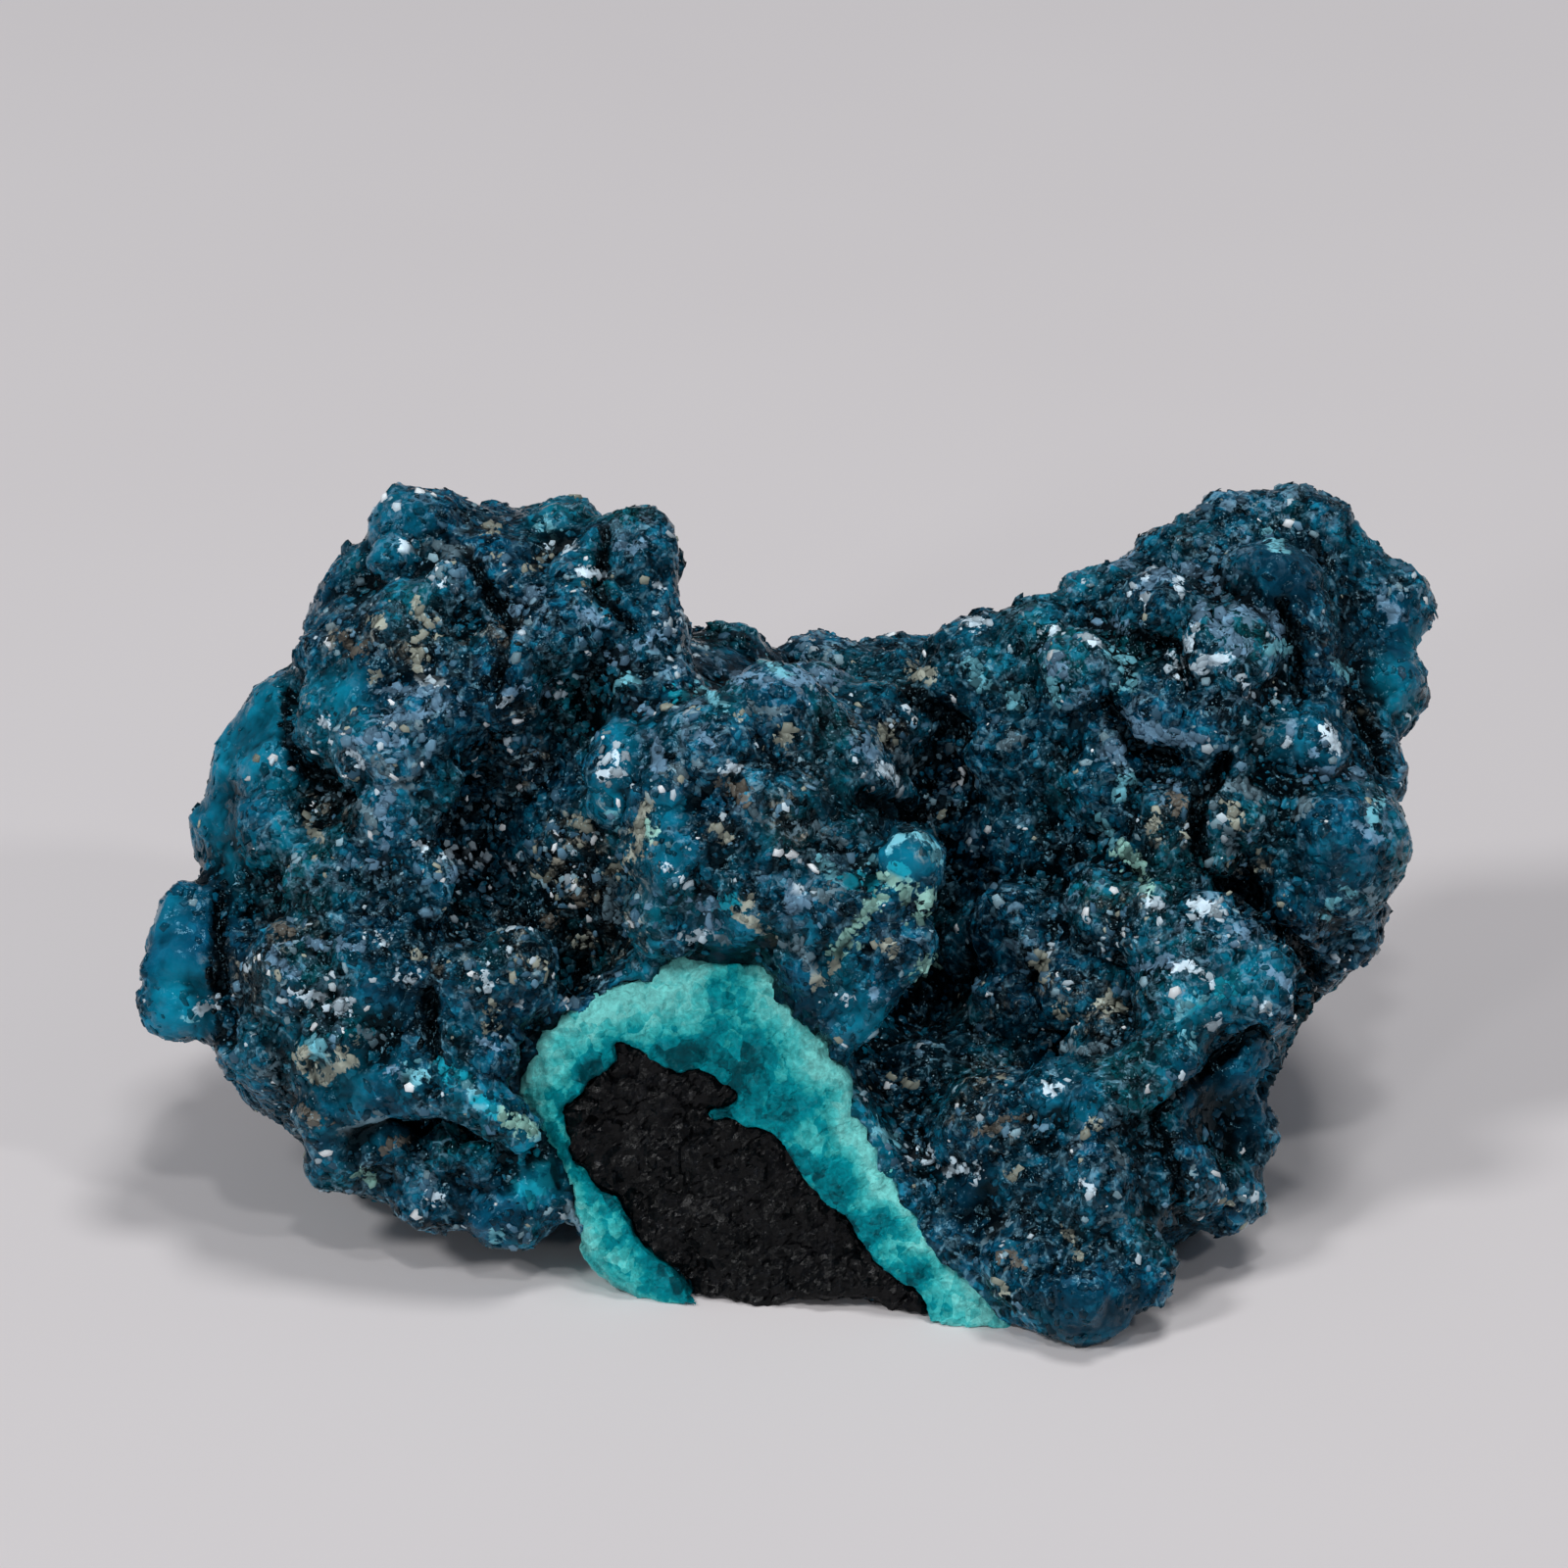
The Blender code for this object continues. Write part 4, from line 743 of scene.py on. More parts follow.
def bluePaint(tree, place):
    # what the crust and its grains share: blue to teal glass, mottled from black to grey, with the zones over it, among
    # them painted shade, sheen and glow
    read = {name: addNode(tree, "ShaderNodeAttribute", {"attribute_name": name}).outputs["Fac"] for name in ("teal", "haze", "dark", "grit", "clean", "strand")}
    broad = addNode(tree, "ShaderNodeTexNoise", {"Scale": 1 / (3.0 * mm), "Detail": 2.0}, {"Vector": place}).outputs["Fac"]
    patches = addNode(tree, "ShaderNodeTexNoise", {"Scale": 1 / (0.9 * mm), "Detail": 5.0, "Roughness": 0.68, "Distortion": 0.4}, {"Vector": place}).outputs["Fac"]
    veil = addNode(tree, "ShaderNodeTexNoise", {"Scale": 1 / (0.42 * mm), "Detail": 4.0, "Roughness": 0.7, "Distortion": 0.8}, {"Vector": place}).outputs["Fac"]
    bent = addNode(tree, "ShaderNodeTexNoise", {"Scale": 1 / (0.5 * mm), "Detail": 2.0}, {"Vector": place}).outputs["Color"]
    bent = addNode(tree, "ShaderNodeVectorMath", {"operation": "MULTIPLY_ADD", 1: (0.35 * mm,) * 3}, {0: bent, 2: place}).outputs["Vector"]
    cell = addNode(tree, "ShaderNodeTexVoronoi", {"Scale": 1 / (0.42 * mm)}, {"Vector": bent}).outputs["Color"]
    cell = addNode(tree, "ShaderNodeSeparateColor", links={"Color": cell}).outputs
    chip = addNode(tree, "ShaderNodeTexVoronoi", {"Scale": 1 / (0.19 * mm)}, {"Vector": place}).outputs["Color"]
    edge = addNode(tree, "ShaderNodeTexVoronoi", {"feature": "DISTANCE_TO_EDGE", "Scale": 1 / (0.6 * mm)}, {"Vector": bent}).outputs["Distance"]
    green = addNode(tree, "ShaderNodeValToRGB", {"stops": [(0.35, "#053e59"), (0.50, "#06465d"), (0.65, "#074e58")]}, {"Fac": broad}).outputs["Color"]
    tones = addNode(tree, "ShaderNodeMath", {"operation": "MULTIPLY_ADD", 1: 0.24}, {0: cell["Red"], 2: patches}).outputs[0]
    tones = addNode(tree, "ShaderNodeMath", {"operation": "MULTIPLY_ADD", 1: 0.24}, {0: chip, 2: tones}).outputs[0]
    tone = addNode(tree, "ShaderNodeValToRGB", {"stops": [(0.54, 0.04), (0.66, 0.26), (0.78, 0.74), (0.92, 1.3)]}, {"Fac": tones}).outputs["Color"]
    body = addNode(tree, "ShaderNodeMix", {"data_type": "RGBA", "blend_type": "MULTIPLY", 0: 1.0}, {6: green, 7: tone}).outputs[2]
    bright = addNode(tree, "ShaderNodeMapRange", {"From Min": 0.82, "From Max": 0.98, "To Min": 0.0, "To Max": 0.8}, {"Value": tones}).outputs[0]
    body = addNode(tree, "ShaderNodeMix", {"data_type": "RGBA", 7: "#146c88"}, {0: bright, 6: body}).outputs[2]
    # the teal zone: brighter teal, a painted glow of light through thin places, and turquoise patches; the clean places
    # below take it too
    light = addNode(tree, "ShaderNodeMapRange", {"From Min": 0.35, "From Max": 0.65, "To Min": 0.4, "To Max": 1.0}, {"Value": patches}).outputs[0]
    light = addNode(tree, "ShaderNodeMath", {"operation": "MULTIPLY", "use_clamp": True}, {0: light, 1: read["teal"]}).outputs[0]
    body = addNode(tree, "ShaderNodeMix", {"data_type": "RGBA", 7: "#09708a"}, {0: light, 6: body}).outputs[2]
    # grey-lavender patches: painted sheen of reflected sky, faint everywhere and strongest in the haze zone
    paintedSheen = addNode(tree, "ShaderNodeMath", {"operation": "MULTIPLY_ADD", 1: 0.16}, {0: cell["Green"], 2: veil}).outputs[0]
    paintedSheen = addNode(tree, "ShaderNodeMapRange", {"From Min": 0.60, "From Max": 0.70, "To Min": 0.0, "To Max": 0.85}, {"Value": paintedSheen}).outputs[0]
    over = addNode(tree, "ShaderNodeMath", {"operation": "MULTIPLY_ADD", 1: 1.0, 2: 0.10}, {0: read["haze"]}).outputs[0]
    paintedSheen = addNode(tree, "ShaderNodeMath", {"operation": "MULTIPLY", "use_clamp": True}, {0: paintedSheen, 1: over}).outputs[0]
    body = addNode(tree, "ShaderNodeMix", {"data_type": "RGBA", 7: "#698ca3"}, {0: paintedSheen, 6: body}).outputs[2]
    clear = addNode(tree, "ShaderNodeMath", {"operation": "MULTIPLY", 1: 0.7}, {0: read["clean"]}).outputs[0]
    clearShade = addNode(tree, "ShaderNodeMix", {"data_type": "RGBA", 6: "#064460", 7: "#06708a"}, {0: read["teal"]}).outputs[2]
    body = addNode(tree, "ShaderNodeMix", {"data_type": "RGBA"}, {0: clear, 6: body, 7: clearShade}).outputs[2]
    # the dark zone: near black, painted shade and soot
    deep = addNode(tree, "ShaderNodeMath", {"operation": "MULTIPLY", 1: 0.8}, {0: read["dark"]}).outputs[0]
    body = addNode(tree, "ShaderNodeMix", {"data_type": "RGBA", 7: "#03080c"}, {0: deep, 6: body}).outputs[2]
    # pale lines along cell edges: painted glints along facet edges, none in clean places
    lines = addNode(tree, "ShaderNodeMapRange", {"From Min": 0.04, "From Max": 0.10, "To Min": 1.0, "To Max": 0.0}, {"Value": edge}).outputs[0]
    share = addNode(tree, "ShaderNodeMapRange", {"From Min": 0.46, "From Max": 0.62, "To Min": 0.0, "To Max": 0.8}, {"Value": veil}).outputs[0]
    lines = addNode(tree, "ShaderNodeMath", {"operation": "MULTIPLY"}, {0: lines, 1: share}).outputs[0]
    lines = addNode(tree, "ShaderNodeMath", {"operation": "SUBTRACT", "use_clamp": True}, {0: lines, 1: read["clean"]}).outputs[0]
    body = addNode(tree, "ShaderNodeMix", {"data_type": "RGBA", 7: "#5a8699"}, {0: lines, 6: body}).outputs[2]
    grains = addNode(tree, "ShaderNodeMath", {"operation": "MULTIPLY_ADD", 1: 0.2}, {0: cell["Blue"], 2: veil}).outputs[0]
    grains = addNode(tree, "ShaderNodeValToRGB", {"stops": [(0.48, "#050608"), (0.62, "#15191a"), (0.70, "#4c4d48"), (0.76, "#a3a193")]}, {"Fac": grains}).outputs["Color"]
    inGrit = addNode(tree, "ShaderNodeMapRange", {"From Min": 0.42, "From Max": 0.56, "To Min": 1.0, "To Max": 0.35}, {"Value": patches}).outputs[0]
    inGrit = addNode(tree, "ShaderNodeMath", {"operation": "MULTIPLY", "use_clamp": True}, {0: inGrit, 1: read["grit"]}).outputs[0]
    body = addNode(tree, "ShaderNodeMix", {"data_type": "RGBA"}, {0: inGrit, 6: body, 7: grains}).outputs[2]
    # the strands over it: the mineral's pale streaks, white and lavender painted glints, and painted shade along the
    # gaps
    broken = addNode(tree, "ShaderNodeMath", {"operation": "MULTIPLY_ADD", 1: 0.5}, {0: read["strand"], 2: veil}).outputs[0]
    broken = addNode(tree, "ShaderNodeMath", {"operation": "MULTIPLY_ADD", 1: 0.36}, {0: chip, 2: broken}).outputs[0]
    broken = addNode(tree, "ShaderNodeMapRange", {"From Min": 1.01, "From Max": 1.09, "To Min": 0.0, "To Max": 0.9}, {"Value": broken}).outputs[0]
    strandShade = addNode(tree, "ShaderNodeAttribute", {"attribute_name": "strandShade"}).outputs["Color"]
    return addNode(tree, "ShaderNodeMix", {"data_type": "RGBA"}, {0: broken, 6: body, 7: strandShade}).outputs[2]


def chrysocollaUnderQuartz():
    # Chrysocolla under a clear skin of grown quartz: dark and saturated in depth, wet-looking on top, with painted
    # shade in its creases and painted light on its small tops
    material, tree, shader, place = startMaterial("chrysocolla_under_grown_quartz")
    read = {name: addNode(tree, "ShaderNodeAttribute", {"attribute_name": name}).outputs["Fac"] for name in ("rise", "swell", "foot", "clean")}
    fine = addNode(tree, "ShaderNodeTexNoise", {"Scale": 1 / (0.26 * mm), "Detail": 3.0, "Roughness": 0.6}, {"Vector": place}).outputs["Fac"]
    body = bluePaint(tree, place)
    # painted shading from the small relief: shade in creases, lighter on small tops
    paintedCreaseShading = addNode(tree, "ShaderNodeValToRGB", {"stops": [(0.24, 0.05), (0.46, 0.75), (0.8, 1.45)]}, {"Fac": read["rise"]}).outputs["Color"]
    body = addNode(tree, "ShaderNodeMix", {"data_type": "RGBA", "blend_type": "MULTIPLY", 0: 0.9}, {6: body, 7: paintedCreaseShading}).outputs[2]
    # the same at the size of whole lumps: painted shade between lumps, lighter on their tops
    paintedValleyShading = addNode(tree, "ShaderNodeValToRGB", {"stops": [(0.18, 0.05), (0.42, 0.65), (0.72, 1.4)]}, {"Fac": read["swell"]}).outputs["Color"]
    body = addNode(tree, "ShaderNodeMix", {"data_type": "RGBA", "blend_type": "MULTIPLY", 0: 0.9}, {6: body, 7: paintedValleyShading}).outputs[2]
    body = addNode(tree, "ShaderNodeMix", {"data_type": "RGBA", 7: "#0d0d0f"}, {0: read["foot"], 6: body}).outputs[2]
    tree.links.new(body, shader.inputs["Base Color"])
    rough = addNode(tree, "ShaderNodeMapRange", {"From Min": 0.35, "From Max": 0.65, "To Min": 0.06, "To Max": 0.22}, {"Value": fine}).outputs[0]
    tree.links.new(rough, shader.inputs["Roughness"])
    turned = facetNormal(tree, place, 0.30, 0.75, read["clean"])
    bump = addNode(tree, "ShaderNodeBump", {"Strength": 0.5, "Distance": 0.05 * mm}, {"Height": fine, "Normal": turned})
    tree.links.new(bump.outputs[0], shader.inputs["Normal"])
    shader.inputs["IOR"].default_value = 1.54
    shader.inputs["Specular IOR Level"].default_value = 0.2
    shader.inputs["Specular Tint"].default_value = linear("#86c6e0")
    shader.inputs["Sheen Weight"].default_value = 0.10
    shader.inputs["Sheen Roughness"].default_value = 0.35
    shader.inputs["Sheen Tint"].default_value = linear("#5fb0c8")
    return material


# Quartz grains: low five-sided plates with flat tops, nearly flush with the crust
points = {
    "pieces": 3,
    "each": 11500,
    "width": (0.07, 0.30),  # half width in mm
    "narrow": (0.4, 0.9),  # of the half width, across it
    "height": (0.14, 0.30),  # of the half width
    "top": 0.72,  # of the half width
    "lean": 0.18,  # how far they turn off the normal
    "sink": 0.66,  # of the height
    "frontShare": 3.0,  # times as many to the area on the display side
    # pale flakes, more in the haze and grit zones, on ridges and on strands: partly pale quartz, partly painted glints
    "paleShare": {"everywhere": 0.035, "haze": 0.32, "grit": 0.22, "ridges": 0.9, "strands": 0.5},
    "paleWidth": 0.9,  # of the width of the others
    "paleLean": 0.15,
    "seed": 21,
}


def makePoints(crustPiece, found, material):
    mesh = crustPiece.data
    random = np.random.default_rng(points["seed"])
    places, normals = readMesh(mesh.vertices, "co"), readMesh(mesh.vertex_normals, "vector")
    face = intoBroken(places)
    toEye = np.array(eye) - places
    toEye = (toEye * normals).sum(1) / np.linalg.norm(toEye, axis=1)
    chance = 1 + (points["frontShare"] - 1) * np.clip(toEye * 1.6, 0, 1)
    chance *= (1 + found["grit"]) * (1.03 - np.clip(found["clean"], 0, 1))
    chance[inside(broken["outline"], face[:, :2]) & (np.abs(face[:, 2]) < 1.2)] = 0
    chance[places[:, 2] < 0.15 * mm] = 0
    total = points["pieces"] * points["each"]
    spots, _, roots = surfaceSpots(mesh, total, random, chance)
    order = np.argsort(spots[:, 0])
    spots, roots = spots[order], roots[order]
    axes = normals[roots] + points["lean"] * random.normal(size=(total, 3))
    axes /= np.linalg.norm(axes, axis=1)[:, None]
    low, high = points["width"]
    wide = low + (high - low) * random.random(total) ** 1.6
    cluster = np.clip(0.6 + 2.2 * drift(spots, 0.9), 0, 2)
    share = points["paleShare"]
    pale = share["everywhere"] + sum(share[name] * found[name][roots] for name in ("haze", "grit"))
    pale += share["ridges"] * np.clip(found["rise"][roots] - 0.6, 0, 1)
    pale *= cluster * (1.1 - np.clip(found["clean"][roots], 0, 1))
    pale = random.random(total) < pale + share["strands"] * np.clip(found["strand"][roots] - 0.3, 0, 1)
    wide[pale] *= points["paleWidth"]
    axes[pale] += points["paleLean"] * random.normal(size=(pale.sum(), 3))
    axes /= np.linalg.norm(axes, axis=1)[:, None]
    tall = wide * random.uniform(*points["height"], total)
    narrow = random.uniform(*points["narrow"], total)
    tall[pale] *= 1.8
    spots += axes * (tall * (0.5 - points["sink"]) * mm)[:, None]
    layers = {name: found[name][roots] for name in ("teal", "haze", "dark", "grit", "clean", "strand", "strandShade")}
    layers["tone"], layers["kind"] = random.random((2, total))
    layers["kind"][~pale] = 0
    for index in range(points["pieces"]):
        part = slice(index * points["each"], (index + 1) * points["each"])
        cone = bmesh.new()
        bmesh.ops.create_cone(cone, cap_ends=True, segments=5, radius1=1.0, radius2=points["top"], depth=1.0)
        bmesh.ops.triangulate(cone, faces=cone.faces)
        name = f"quartz_grains_{index + 1}"
        partLayers = {layer: values[part] for layer, values in layers.items()}
        asPiece(name, tiled(name, cone, spots[part], axes[part], wide[part], tall[part], random, narrow=narrow[part], **partLayers), material)
    print("quartz grains:", total)


def quartzPoints():
    # Quartz over and in the copper mineral: mostly its blue, some grey, beige or white; the pale flakes are partly pale
    # quartz, partly painted glints
    material, tree, shader, place = startMaterial("quartz_points_stained_by_copper")
    tone = addNode(tree, "ShaderNodeAttribute", {"attribute_name": "tone"}).outputs["Fac"]
    kind = addNode(tree, "ShaderNodeAttribute", {"attribute_name": "kind"}).outputs["Fac"]
    body = bluePaint(tree, place)
    shade = addNode(tree, "ShaderNodeValToRGB", {"stops": [(0.0, 0.45), (0.5, 0.95), (0.8, 1.2), (1.0, 1.8)]}, {"Fac": tone}).outputs["Color"]
    body = addNode(tree, "ShaderNodeMix", {"data_type": "RGBA", "blend_type": "MULTIPLY", 0: 1.0}, {6: body, 7: shade}).outputs[2]
    stops = [(0.0, "#466f88"), (0.28, "#6891aa"), (0.50, "#8eb1bf"), (0.70, "#a3a899"), (0.78, "#c6dae5"), (0.90, "#f0f8fc")]
    pale = addNode(tree, "ShaderNodeValToRGB", {"stops": stops}, {"Fac": kind})
    pale.color_ramp.interpolation = "CONSTANT"
    strand, strandShade = (addNode(tree, "ShaderNodeAttribute", {"attribute_name": name}).outputs["Color"] for name in ("strand", "strandShade"))
    strand = addNode(tree, "ShaderNodeMapRange", {"From Min": 0.2, "From Max": 0.4}, {"Value": strand}).outputs[0]
    flake = addNode(tree, "ShaderNodeMix", {"data_type": "RGBA"}, {0: strand, 6: pale.outputs["Color"], 7: strandShade}).outputs[2]
    light = addNode(tree, "ShaderNodeValToRGB", {"stops": [(0.0, 0.6), (0.6, 1.0), (1.0, 1.25)]}, {"Fac": tone}).outputs["Color"]
    flake = addNode(tree, "ShaderNodeMix", {"data_type": "RGBA", "blend_type": "MULTIPLY", 0: 1.0}, {6: flake, 7: light}).outputs[2]
    isPale = addNode(tree, "ShaderNodeMath", {"operation": "GREATER_THAN", 1: 0.0001}, {0: kind}).outputs[0]
    body = addNode(tree, "ShaderNodeMix", {"data_type": "RGBA"}, {0: isPale, 6: body, 7: flake}).outputs[2]
    tree.links.new(body, shader.inputs["Base Color"])
    rough = addNode(tree, "ShaderNodeMapRange", {"To Min": 0.06, "To Max": 0.22}, {"Value": tone}).outputs[0]
    tree.links.new(rough, shader.inputs["Roughness"])
    shader.inputs["IOR"].default_value = 1.54
    shader.inputs["Specular IOR Level"].default_value = 0.25
    shader.inputs["Specular Tint"].default_value = linear("#9fd2e6")
    return material


def chipped(outline):
    # the outline with small straight chips along it
    step, reach, seed = broken["chips"]
    random = np.random.default_rng(seed)
    corners = []
    for start, end in zip(np.array(outline), np.roll(outline, -1, axis=0)):
        count = max(1, round(float(np.linalg.norm(end - start)) / step))
        corners += [start + (end - start) * share / count for share in range(count)]
    return np.array(corners) + reach * random.uniform(-1, 1, (len(corners), 2))


def slabOf(outline, near, far):
    # a closed slice of the broken face between two depths in mm
    shape = bmesh.new()
    front = shape.faces.new([shape.verts.new((across * mm, up * mm, near * mm)) for across, up in outline])
    pushed = bmesh.ops.extrude_face_region(shape, geom=[front])["geom"]
    bmesh.ops.translate(shape, verts=[item for item in pushed if isinstance(item, bmesh.types.BMVert)], vec=(0, 0, (far - near) * mm))
    bmesh.ops.recalc_face_normals(shape, faces=shape.faces)
    shape.transform(brokenFrame())
    return shape


def cutFoot(piece):
    # flat where it stands on the floor
    shape = bmesh.new()
    shape.from_mesh(piece.data)
    whole = shape.verts[:] + shape.edges[:] + shape.faces[:]
    bmesh.ops.bisect_plane(shape, geom=whole, plane_co=(0, 0, 0.02 * mm), plane_no=(0, 0, -1), clear_outer=True)
    bmesh.ops.holes_fill(shape, edges=[edge for edge in shape.edges if edge.is_boundary])
    bmesh.ops.recalc_face_normals(shape, faces=shape.faces)
    shape.to_mesh(piece.data)
    shape.free()


def chipShape():
    across, up, out, wide, tall, deep = broken["chip"]
    shape = bmesh.new()
    bmesh.ops.create_icosphere(shape, subdivisions=4, radius=1.0)
    bmesh.ops.scale(shape, verts=shape.verts, vec=(wide * mm, tall * mm, deep * mm))
    shape.transform(displayFrame() @ Matrix.Translation(mm * Vector((across, up, out))))
    return shape


def makeBroken(rindMaterial, coreMaterial):
    cutters = []
    for name, shape in (("chip_block", chipShape()), ("core_block", slabOf(chipped(broken["core"]), 2, -3))):
        cutters.append(bpy.data.objects.new(name, meshOf(shape, name)))
        bpy.context.scene.collection.objects.link(cutters[-1])
    rind = asPiece("turquoise_rind", meshOf(slabOf(chipped(broken["outline"]), 0.04, -broken["thick"]), "rind"), rindMaterial)
    core = asPiece("black_core", meshOf(slabOf(chipped(broken["core"]), -broken["recess"], -broken["thick"] - 0.3), "core"), coreMaterial)
    shapedBy(rind, "BOOLEAN", operation="DIFFERENCE", solver="EXACT", object=cutters[1])
    for piece in (rind, core):
        shapedBy(piece, "BOOLEAN", operation="DIFFERENCE", solver="EXACT", object=cutters[0])
        cutFoot(piece)
    for cutter in cutters:
        bpy.data.objects.remove(cutter, do_unlink=True)

    for piece, grain in ((rind, broken["rindGrain"]), (core, broken["coreGrain"])):
        shapedBy(piece, "REMESH", mode="VOXEL", voxel_size=grain * mm)
        mesh = piece.data
        places, normals = readMesh(mesh.vertices, "co"), readMesh(mesh.vertex_normals, "vector")
        if piece is rind:
            lift = 0.16 * drift(places, 1.3) + 0.08 * blocks(places, 0.6) + 0.08 * drift(places, 0.3)
            skin = edgeDistance(broken["outline"], intoBroken(places)[:, :2])
            places -= np.array(brokenFrame().col[2].to_3d()) * (0.3 * np.clip(1 - skin / 0.5, 0, 1) ** 2 * mm)[:, None]
        else:
            lift = 0.30 * drift(places, 1.6) + 0.14 * blocks(places, 1.1) + 0.12 * drift(places, 0.4) + 0.08 * blocks(places, 0.4)
        places += normals * (lift * mm)[:, None]
        places[:, 2] = np.maximum(places[:, 2], 0.0)
        setPlaces(mesh, places)
        face = intoBroken(places)
        fromCore = edgeDistance(broken["core"], face[:, :2])
        fromSkin = edgeDistance(broken["outline"], face[:, :2])
        blots = {name: np.zeros(len(places)) for name in ("deep", "pale")}
        for name, across, up, radius, strength in broken["blots"]:
            reach = np.linalg.norm((face[:, :2] - (across, up)) / radius, axis=1)
            blots[name] = np.maximum(blots[name], strength * np.clip(1.4 - reach, 0, 1))
        paint(mesh, outward=fromCore / np.maximum(fromCore + fromSkin, 1e-6), fromSkin=np.clip(fromSkin, 0, 1), **blots)
        print(piece.name, len(mesh.polygons))


def rindChrysocolla():
    # Chrysocolla broken across its fibres: pale and chalky outside, deeper and clearer towards the core
    material, tree, shader, place = startMaterial("chrysocolla_broken_across_its_fibres")
    read = {name: addNode(tree, "ShaderNodeAttribute", {"attribute_name": name}).outputs["Fac"] for name in ("outward", "fromSkin", "deep", "pale")}
    cloud = addNode(tree, "ShaderNodeTexNoise", {"Scale": 1 / (0.9 * mm), "Detail": 5.0, "Roughness": 0.7, "Distortion": 0.5}, {"Vector": place}).outputs["Fac"]
    fine = addNode(tree, "ShaderNodeTexNoise", {"Scale": 1 / (0.22 * mm), "Detail": 3.0, "Roughness": 0.7, "Distortion": 0.6}, {"Vector": place}).outputs["Fac"]
    bent = addNode(tree, "ShaderNodeTexNoise", {"Scale": 1 / (0.4 * mm), "Detail": 2.0}, {"Vector": place}).outputs["Color"]
    bent = addNode(tree, "ShaderNodeVectorMath", {"operation": "MULTIPLY_ADD", 1: (0.25 * mm,) * 3}, {0: bent, 2: place}).outputs["Vector"]
    for width, weight in ((0.65, 0.5), (0.3, 0.3)):
        cell = addNode(tree, "ShaderNodeTexVoronoi", {"Scale": 1 / (width * mm)}, {"Vector": bent}).outputs["Color"]
        cell = addNode(tree, "ShaderNodeMath", {"operation": "SUBTRACT", 1: 0.5}, {0: cell}).outputs[0]
        cloud = addNode(tree, "ShaderNodeMath", {"operation": "MULTIPLY_ADD", 1: weight}, {0: cell, 2: cloud}).outputs[0]
    depth = addNode(tree, "ShaderNodeMath", {"operation": "MULTIPLY_ADD", 1: 1.3}, {0: cloud, 2: read["outward"]}).outputs[0]
    depth = addNode(tree, "ShaderNodeMath", {"operation": "SUBTRACT"}, {0: depth, 1: read["deep"]}).outputs[0]
    depth = addNode(tree, "ShaderNodeMath", {"operation": "ADD"}, {0: depth, 1: read["pale"]}).outputs[0]
    depth = addNode(tree, "ShaderNodeMath", {"operation": "MULTIPLY", 1: 0.62}, {0: depth}).outputs[0]
    stops = [(0.20, "#004b55"), (0.30, "#007682"), (0.44, "#008b98"), (0.57, "#0598a2"), (0.64, "#33b6b8"), (0.80, "#4fcbcb"), (0.98, "#7fe3de")]
    body = addNode(tree, "ShaderNodeValToRGB", {"stops": stops}, {"Fac": depth}).outputs["Color"]
    mottle = addNode(tree, "ShaderNodeValToRGB", {"stops": [(0.34, 0.68), (0.5, 0.98), (0.66, 1.28)]}, {"Fac": fine}).outputs["Color"]
    body = addNode(tree, "ShaderNodeMix", {"data_type": "RGBA", "blend_type": "MULTIPLY", 0: 0.9}, {6: body, 7: mottle}).outputs[2]
    skin = addNode(tree, "ShaderNodeMapRange", {"From Min": 0.04, "From Max": 0.14, "To Min": 0.35, "To Max": 0.0}, {"Value": read["fromSkin"]}).outputs[0]
    body = addNode(tree, "ShaderNodeMix", {"data_type": "RGBA", 7: "#0f5a68"}, {0: skin, 6: body}).outputs[2]
    tree.links.new(body, shader.inputs["Base Color"])
    rough = addNode(tree, "ShaderNodeMapRange", {"To Min": 0.2, "To Max": 0.5}, {"Value": fine}).outputs[0]
    tree.links.new(rough, shader.inputs["Roughness"])
    turned = facetNormal(tree, place, 0.26, 0.6)
    bump = addNode(tree, "ShaderNodeBump", {"Strength": 0.6, "Distance": 0.06 * mm}, {"Height": fine, "Normal": turned})
    tree.links.new(bump.outputs[0], shader.inputs["Normal"])
    shader.inputs["Specular IOR Level"].default_value = 0.2
    shader.inputs["Specular Tint"].default_value = linear("#86d8e0")
    return material


def coreOxide():
    # Black copper and manganese oxide, broken: soot black, with faint grey facets and a few that glint
    material, tree, shader, place = startMaterial("black_oxide_broken")
    cloud = addNode(tree, "ShaderNodeTexNoise", {"Scale": 1 / (1.8 * mm), "Detail": 4.0}, {"Vector": place}).outputs["Fac"]
    fine = addNode(tree, "ShaderNodeTexNoise", {"Scale": 1 / (0.2 * mm), "Detail": 3.0, "Roughness": 0.8}, {"Vector": place}).outputs["Fac"]
    body = addNode(tree, "ShaderNodeValToRGB", {"stops": [(0.35, "#050709"), (0.65, "#101114")]}, {"Fac": cloud}).outputs["Color"]
    grit = addNode(tree, "ShaderNodeValToRGB", {"stops": [(0.40, 0.4), (0.56, 0.9), (0.66, 2.0), (0.74, 6.0)]}, {"Fac": fine}).outputs["Color"]
    body = addNode(tree, "ShaderNodeMix", {"data_type": "RGBA", "blend_type": "MULTIPLY", 0: 1.0}, {6: body, 7: grit}).outputs[2]
    tree.links.new(body, shader.inputs["Base Color"])
    rough = addNode(tree, "ShaderNodeMapRange", {"From Min": 0.4, "From Max": 0.7, "To Min": 0.38, "To Max": 0.18}, {"Value": fine}).outputs[0]
    tree.links.new(rough, shader.inputs["Roughness"])
    turned = facetNormal(tree, place, 0.3, 0.7)
    bump = addNode(tree, "ShaderNodeBump", {"Strength": 0.5, "Distance": 0.05 * mm}, {"Height": fine, "Normal": turned})
    tree.links.new(bump.outputs[0], shader.inputs["Normal"])
    shader.inputs["Specular IOR Level"].default_value = 0.16
    return material
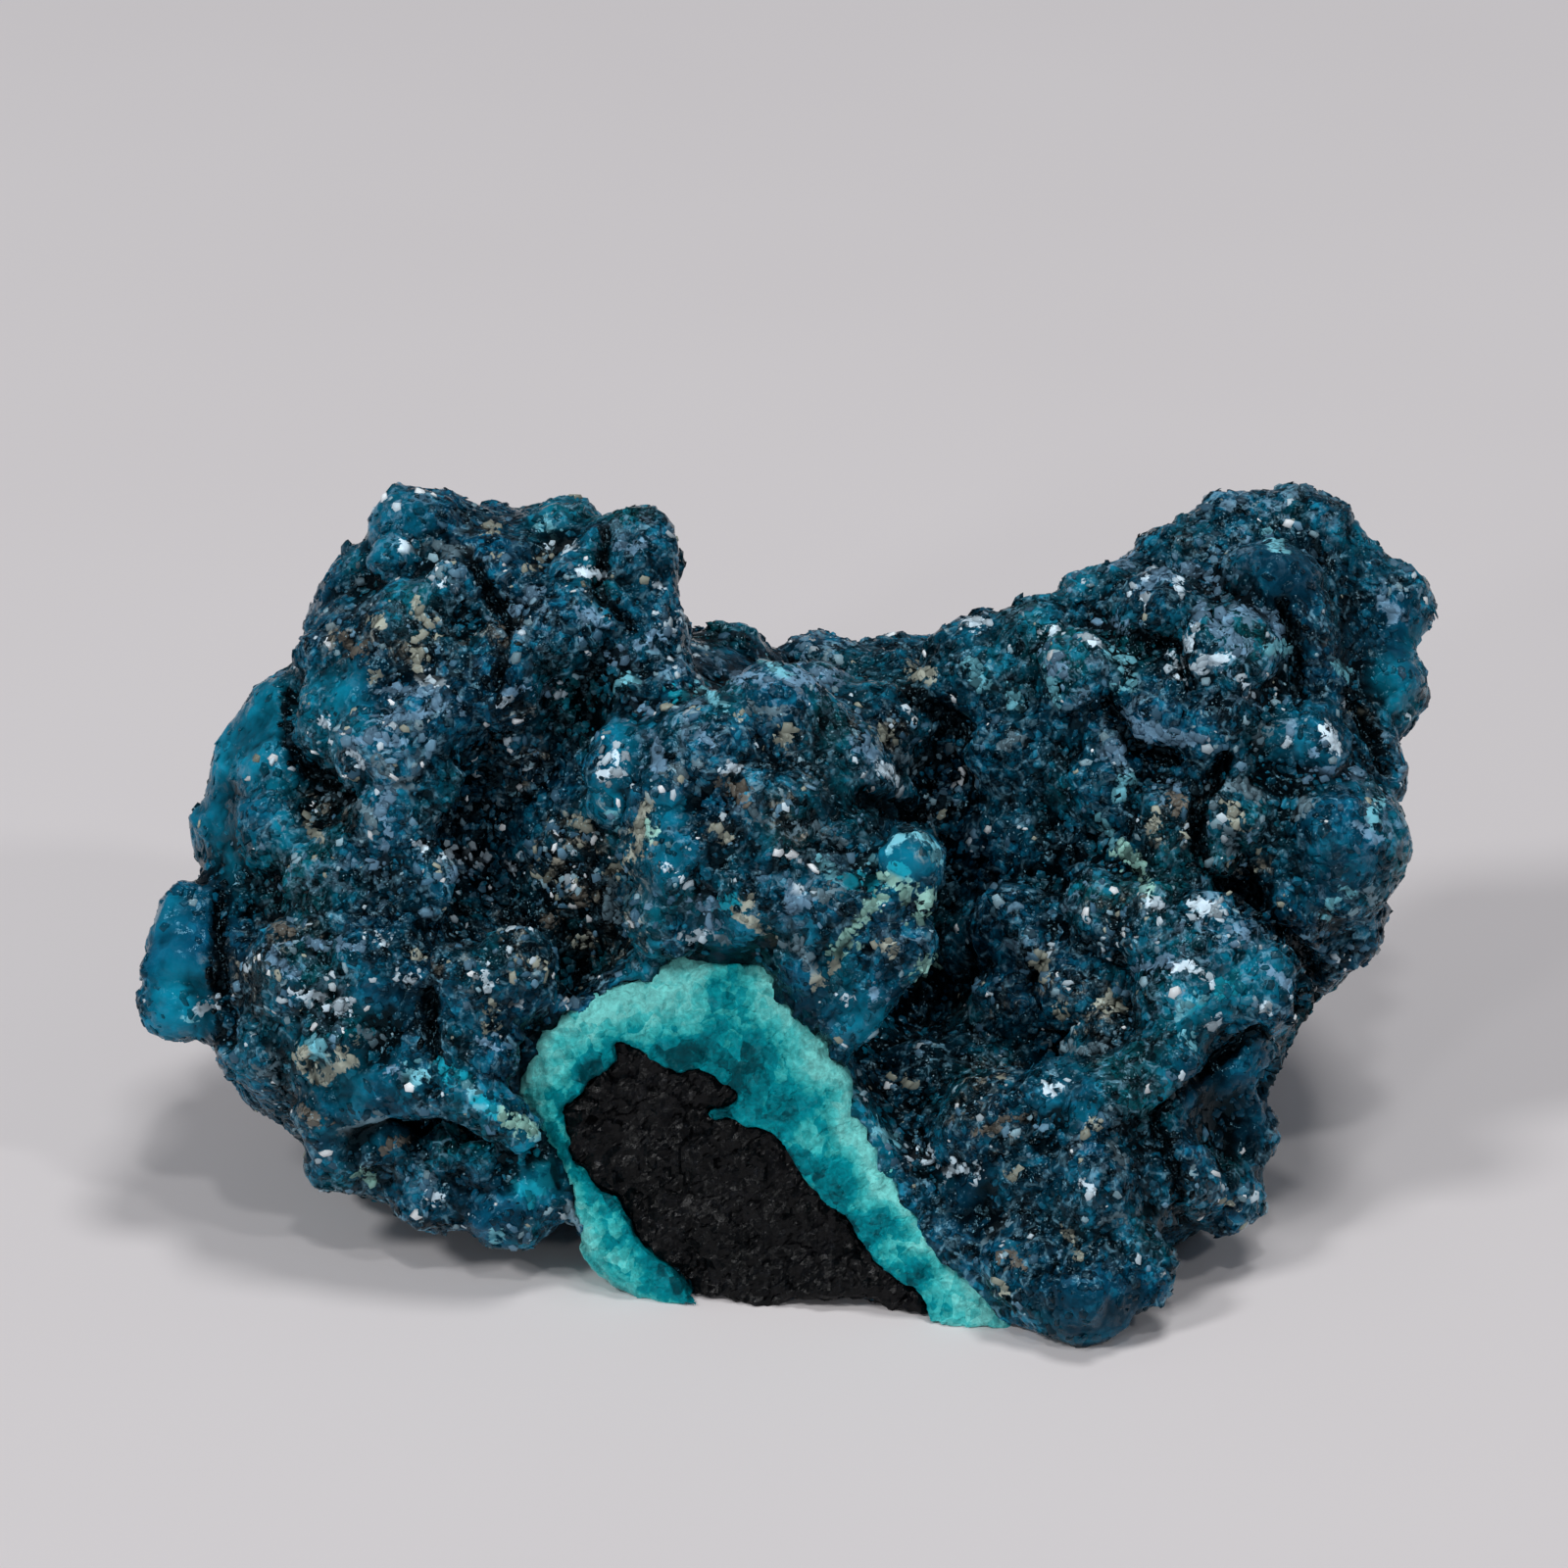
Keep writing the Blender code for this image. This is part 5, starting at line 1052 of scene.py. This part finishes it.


# Studio: a pale floor under soft lamps, with smaller ones for the druse to catch
studio = {
    "floor": ("#e6e1e2", "#ece8e9"),
    "world": "#d5d9e6",
    "worldPower": 0.16,
    # name, place in metres, width in metres, watts
    "lamps": [
        ("window", (-0.40, -0.28, 0.50), 0.15, 1.40),
        ("overhead", (0.12, 0.08, 0.62), 0.17, 1.15),
        ("sparkLeft", (-0.24, -0.48, 0.22), 0.05, 0.25),
        ("sparkRight", (0.36, -0.30, 0.42), 0.055, 0.35),
        ("sparkTop", (0.02, -0.25, 0.60), 0.055, 0.40),
    ],
}


def makeStudio():
    shape = bmesh.new()
    bmesh.ops.create_grid(shape, x_segments=1, y_segments=1, size=1.5)
    floor = bpy.data.objects.new("floor", meshOf(shape, "floor"))
    bpy.context.scene.collection.objects.link(floor)
    material, tree, shader, place = startMaterial("painted_board")
    cloud = addNode(tree, "ShaderNodeTexNoise", {"Scale": 30.0, "Detail": 2.0}, {"Vector": place})
    first, second = studio["floor"]
    body = addNode(tree, "ShaderNodeMix", {"data_type": "RGBA", 6: first, 7: second}, {0: cloud.outputs["Fac"]}).outputs[2]
    tree.links.new(body, shader.inputs["Base Color"])
    shader.inputs["Roughness"].default_value = 0.8
    floor.data.materials.append(material)

    world = bpy.data.worlds.new("studio")
    world.use_nodes = True
    world.node_tree.nodes["Background"].inputs["Color"].default_value = linear(studio["world"])
    world.node_tree.nodes["Background"].inputs["Strength"].default_value = studio["worldPower"]
    bpy.context.scene.world = world
    target = Vector((0, 0, 0.01))
    for name, place, width, power in studio["lamps"]:
        lamp = bpy.data.lights.new(name, "AREA")
        lamp.shape, lamp.size, lamp.energy = "DISK", width, power
        holder = bpy.data.objects.new(name, lamp)
        holder.location = place
        holder.rotation_euler = (target - Vector(place)).to_track_quat("-Z", "Y").to_euler()
        bpy.context.scene.collection.objects.link(holder)


def makeCamera():
    lens = bpy.data.cameras.new("camera")
    lens.sensor_width = 36.0
    lens.lens = 36.0 * display["eyeDistance"] / display["viewWidth"]
    lens.clip_start = 0.005
    camera = bpy.data.objects.new("camera", lens)
    camera.location = eye
    camera.rotation_euler = displayFrame().to_euler()
    bpy.context.scene.collection.objects.link(camera)
    bpy.context.scene.camera = camera
    bpy.context.scene.view_settings.view_transform = "Standard"


makeCamera()
crustPiece = makeCrust(chrysocollaUnderQuartz())
makePoints(crustPiece, paintCrust(crustPiece), quartzPoints())
makeBroken(rindChrysocolla(), coreOxide())
makeStudio()
print("pieces made")
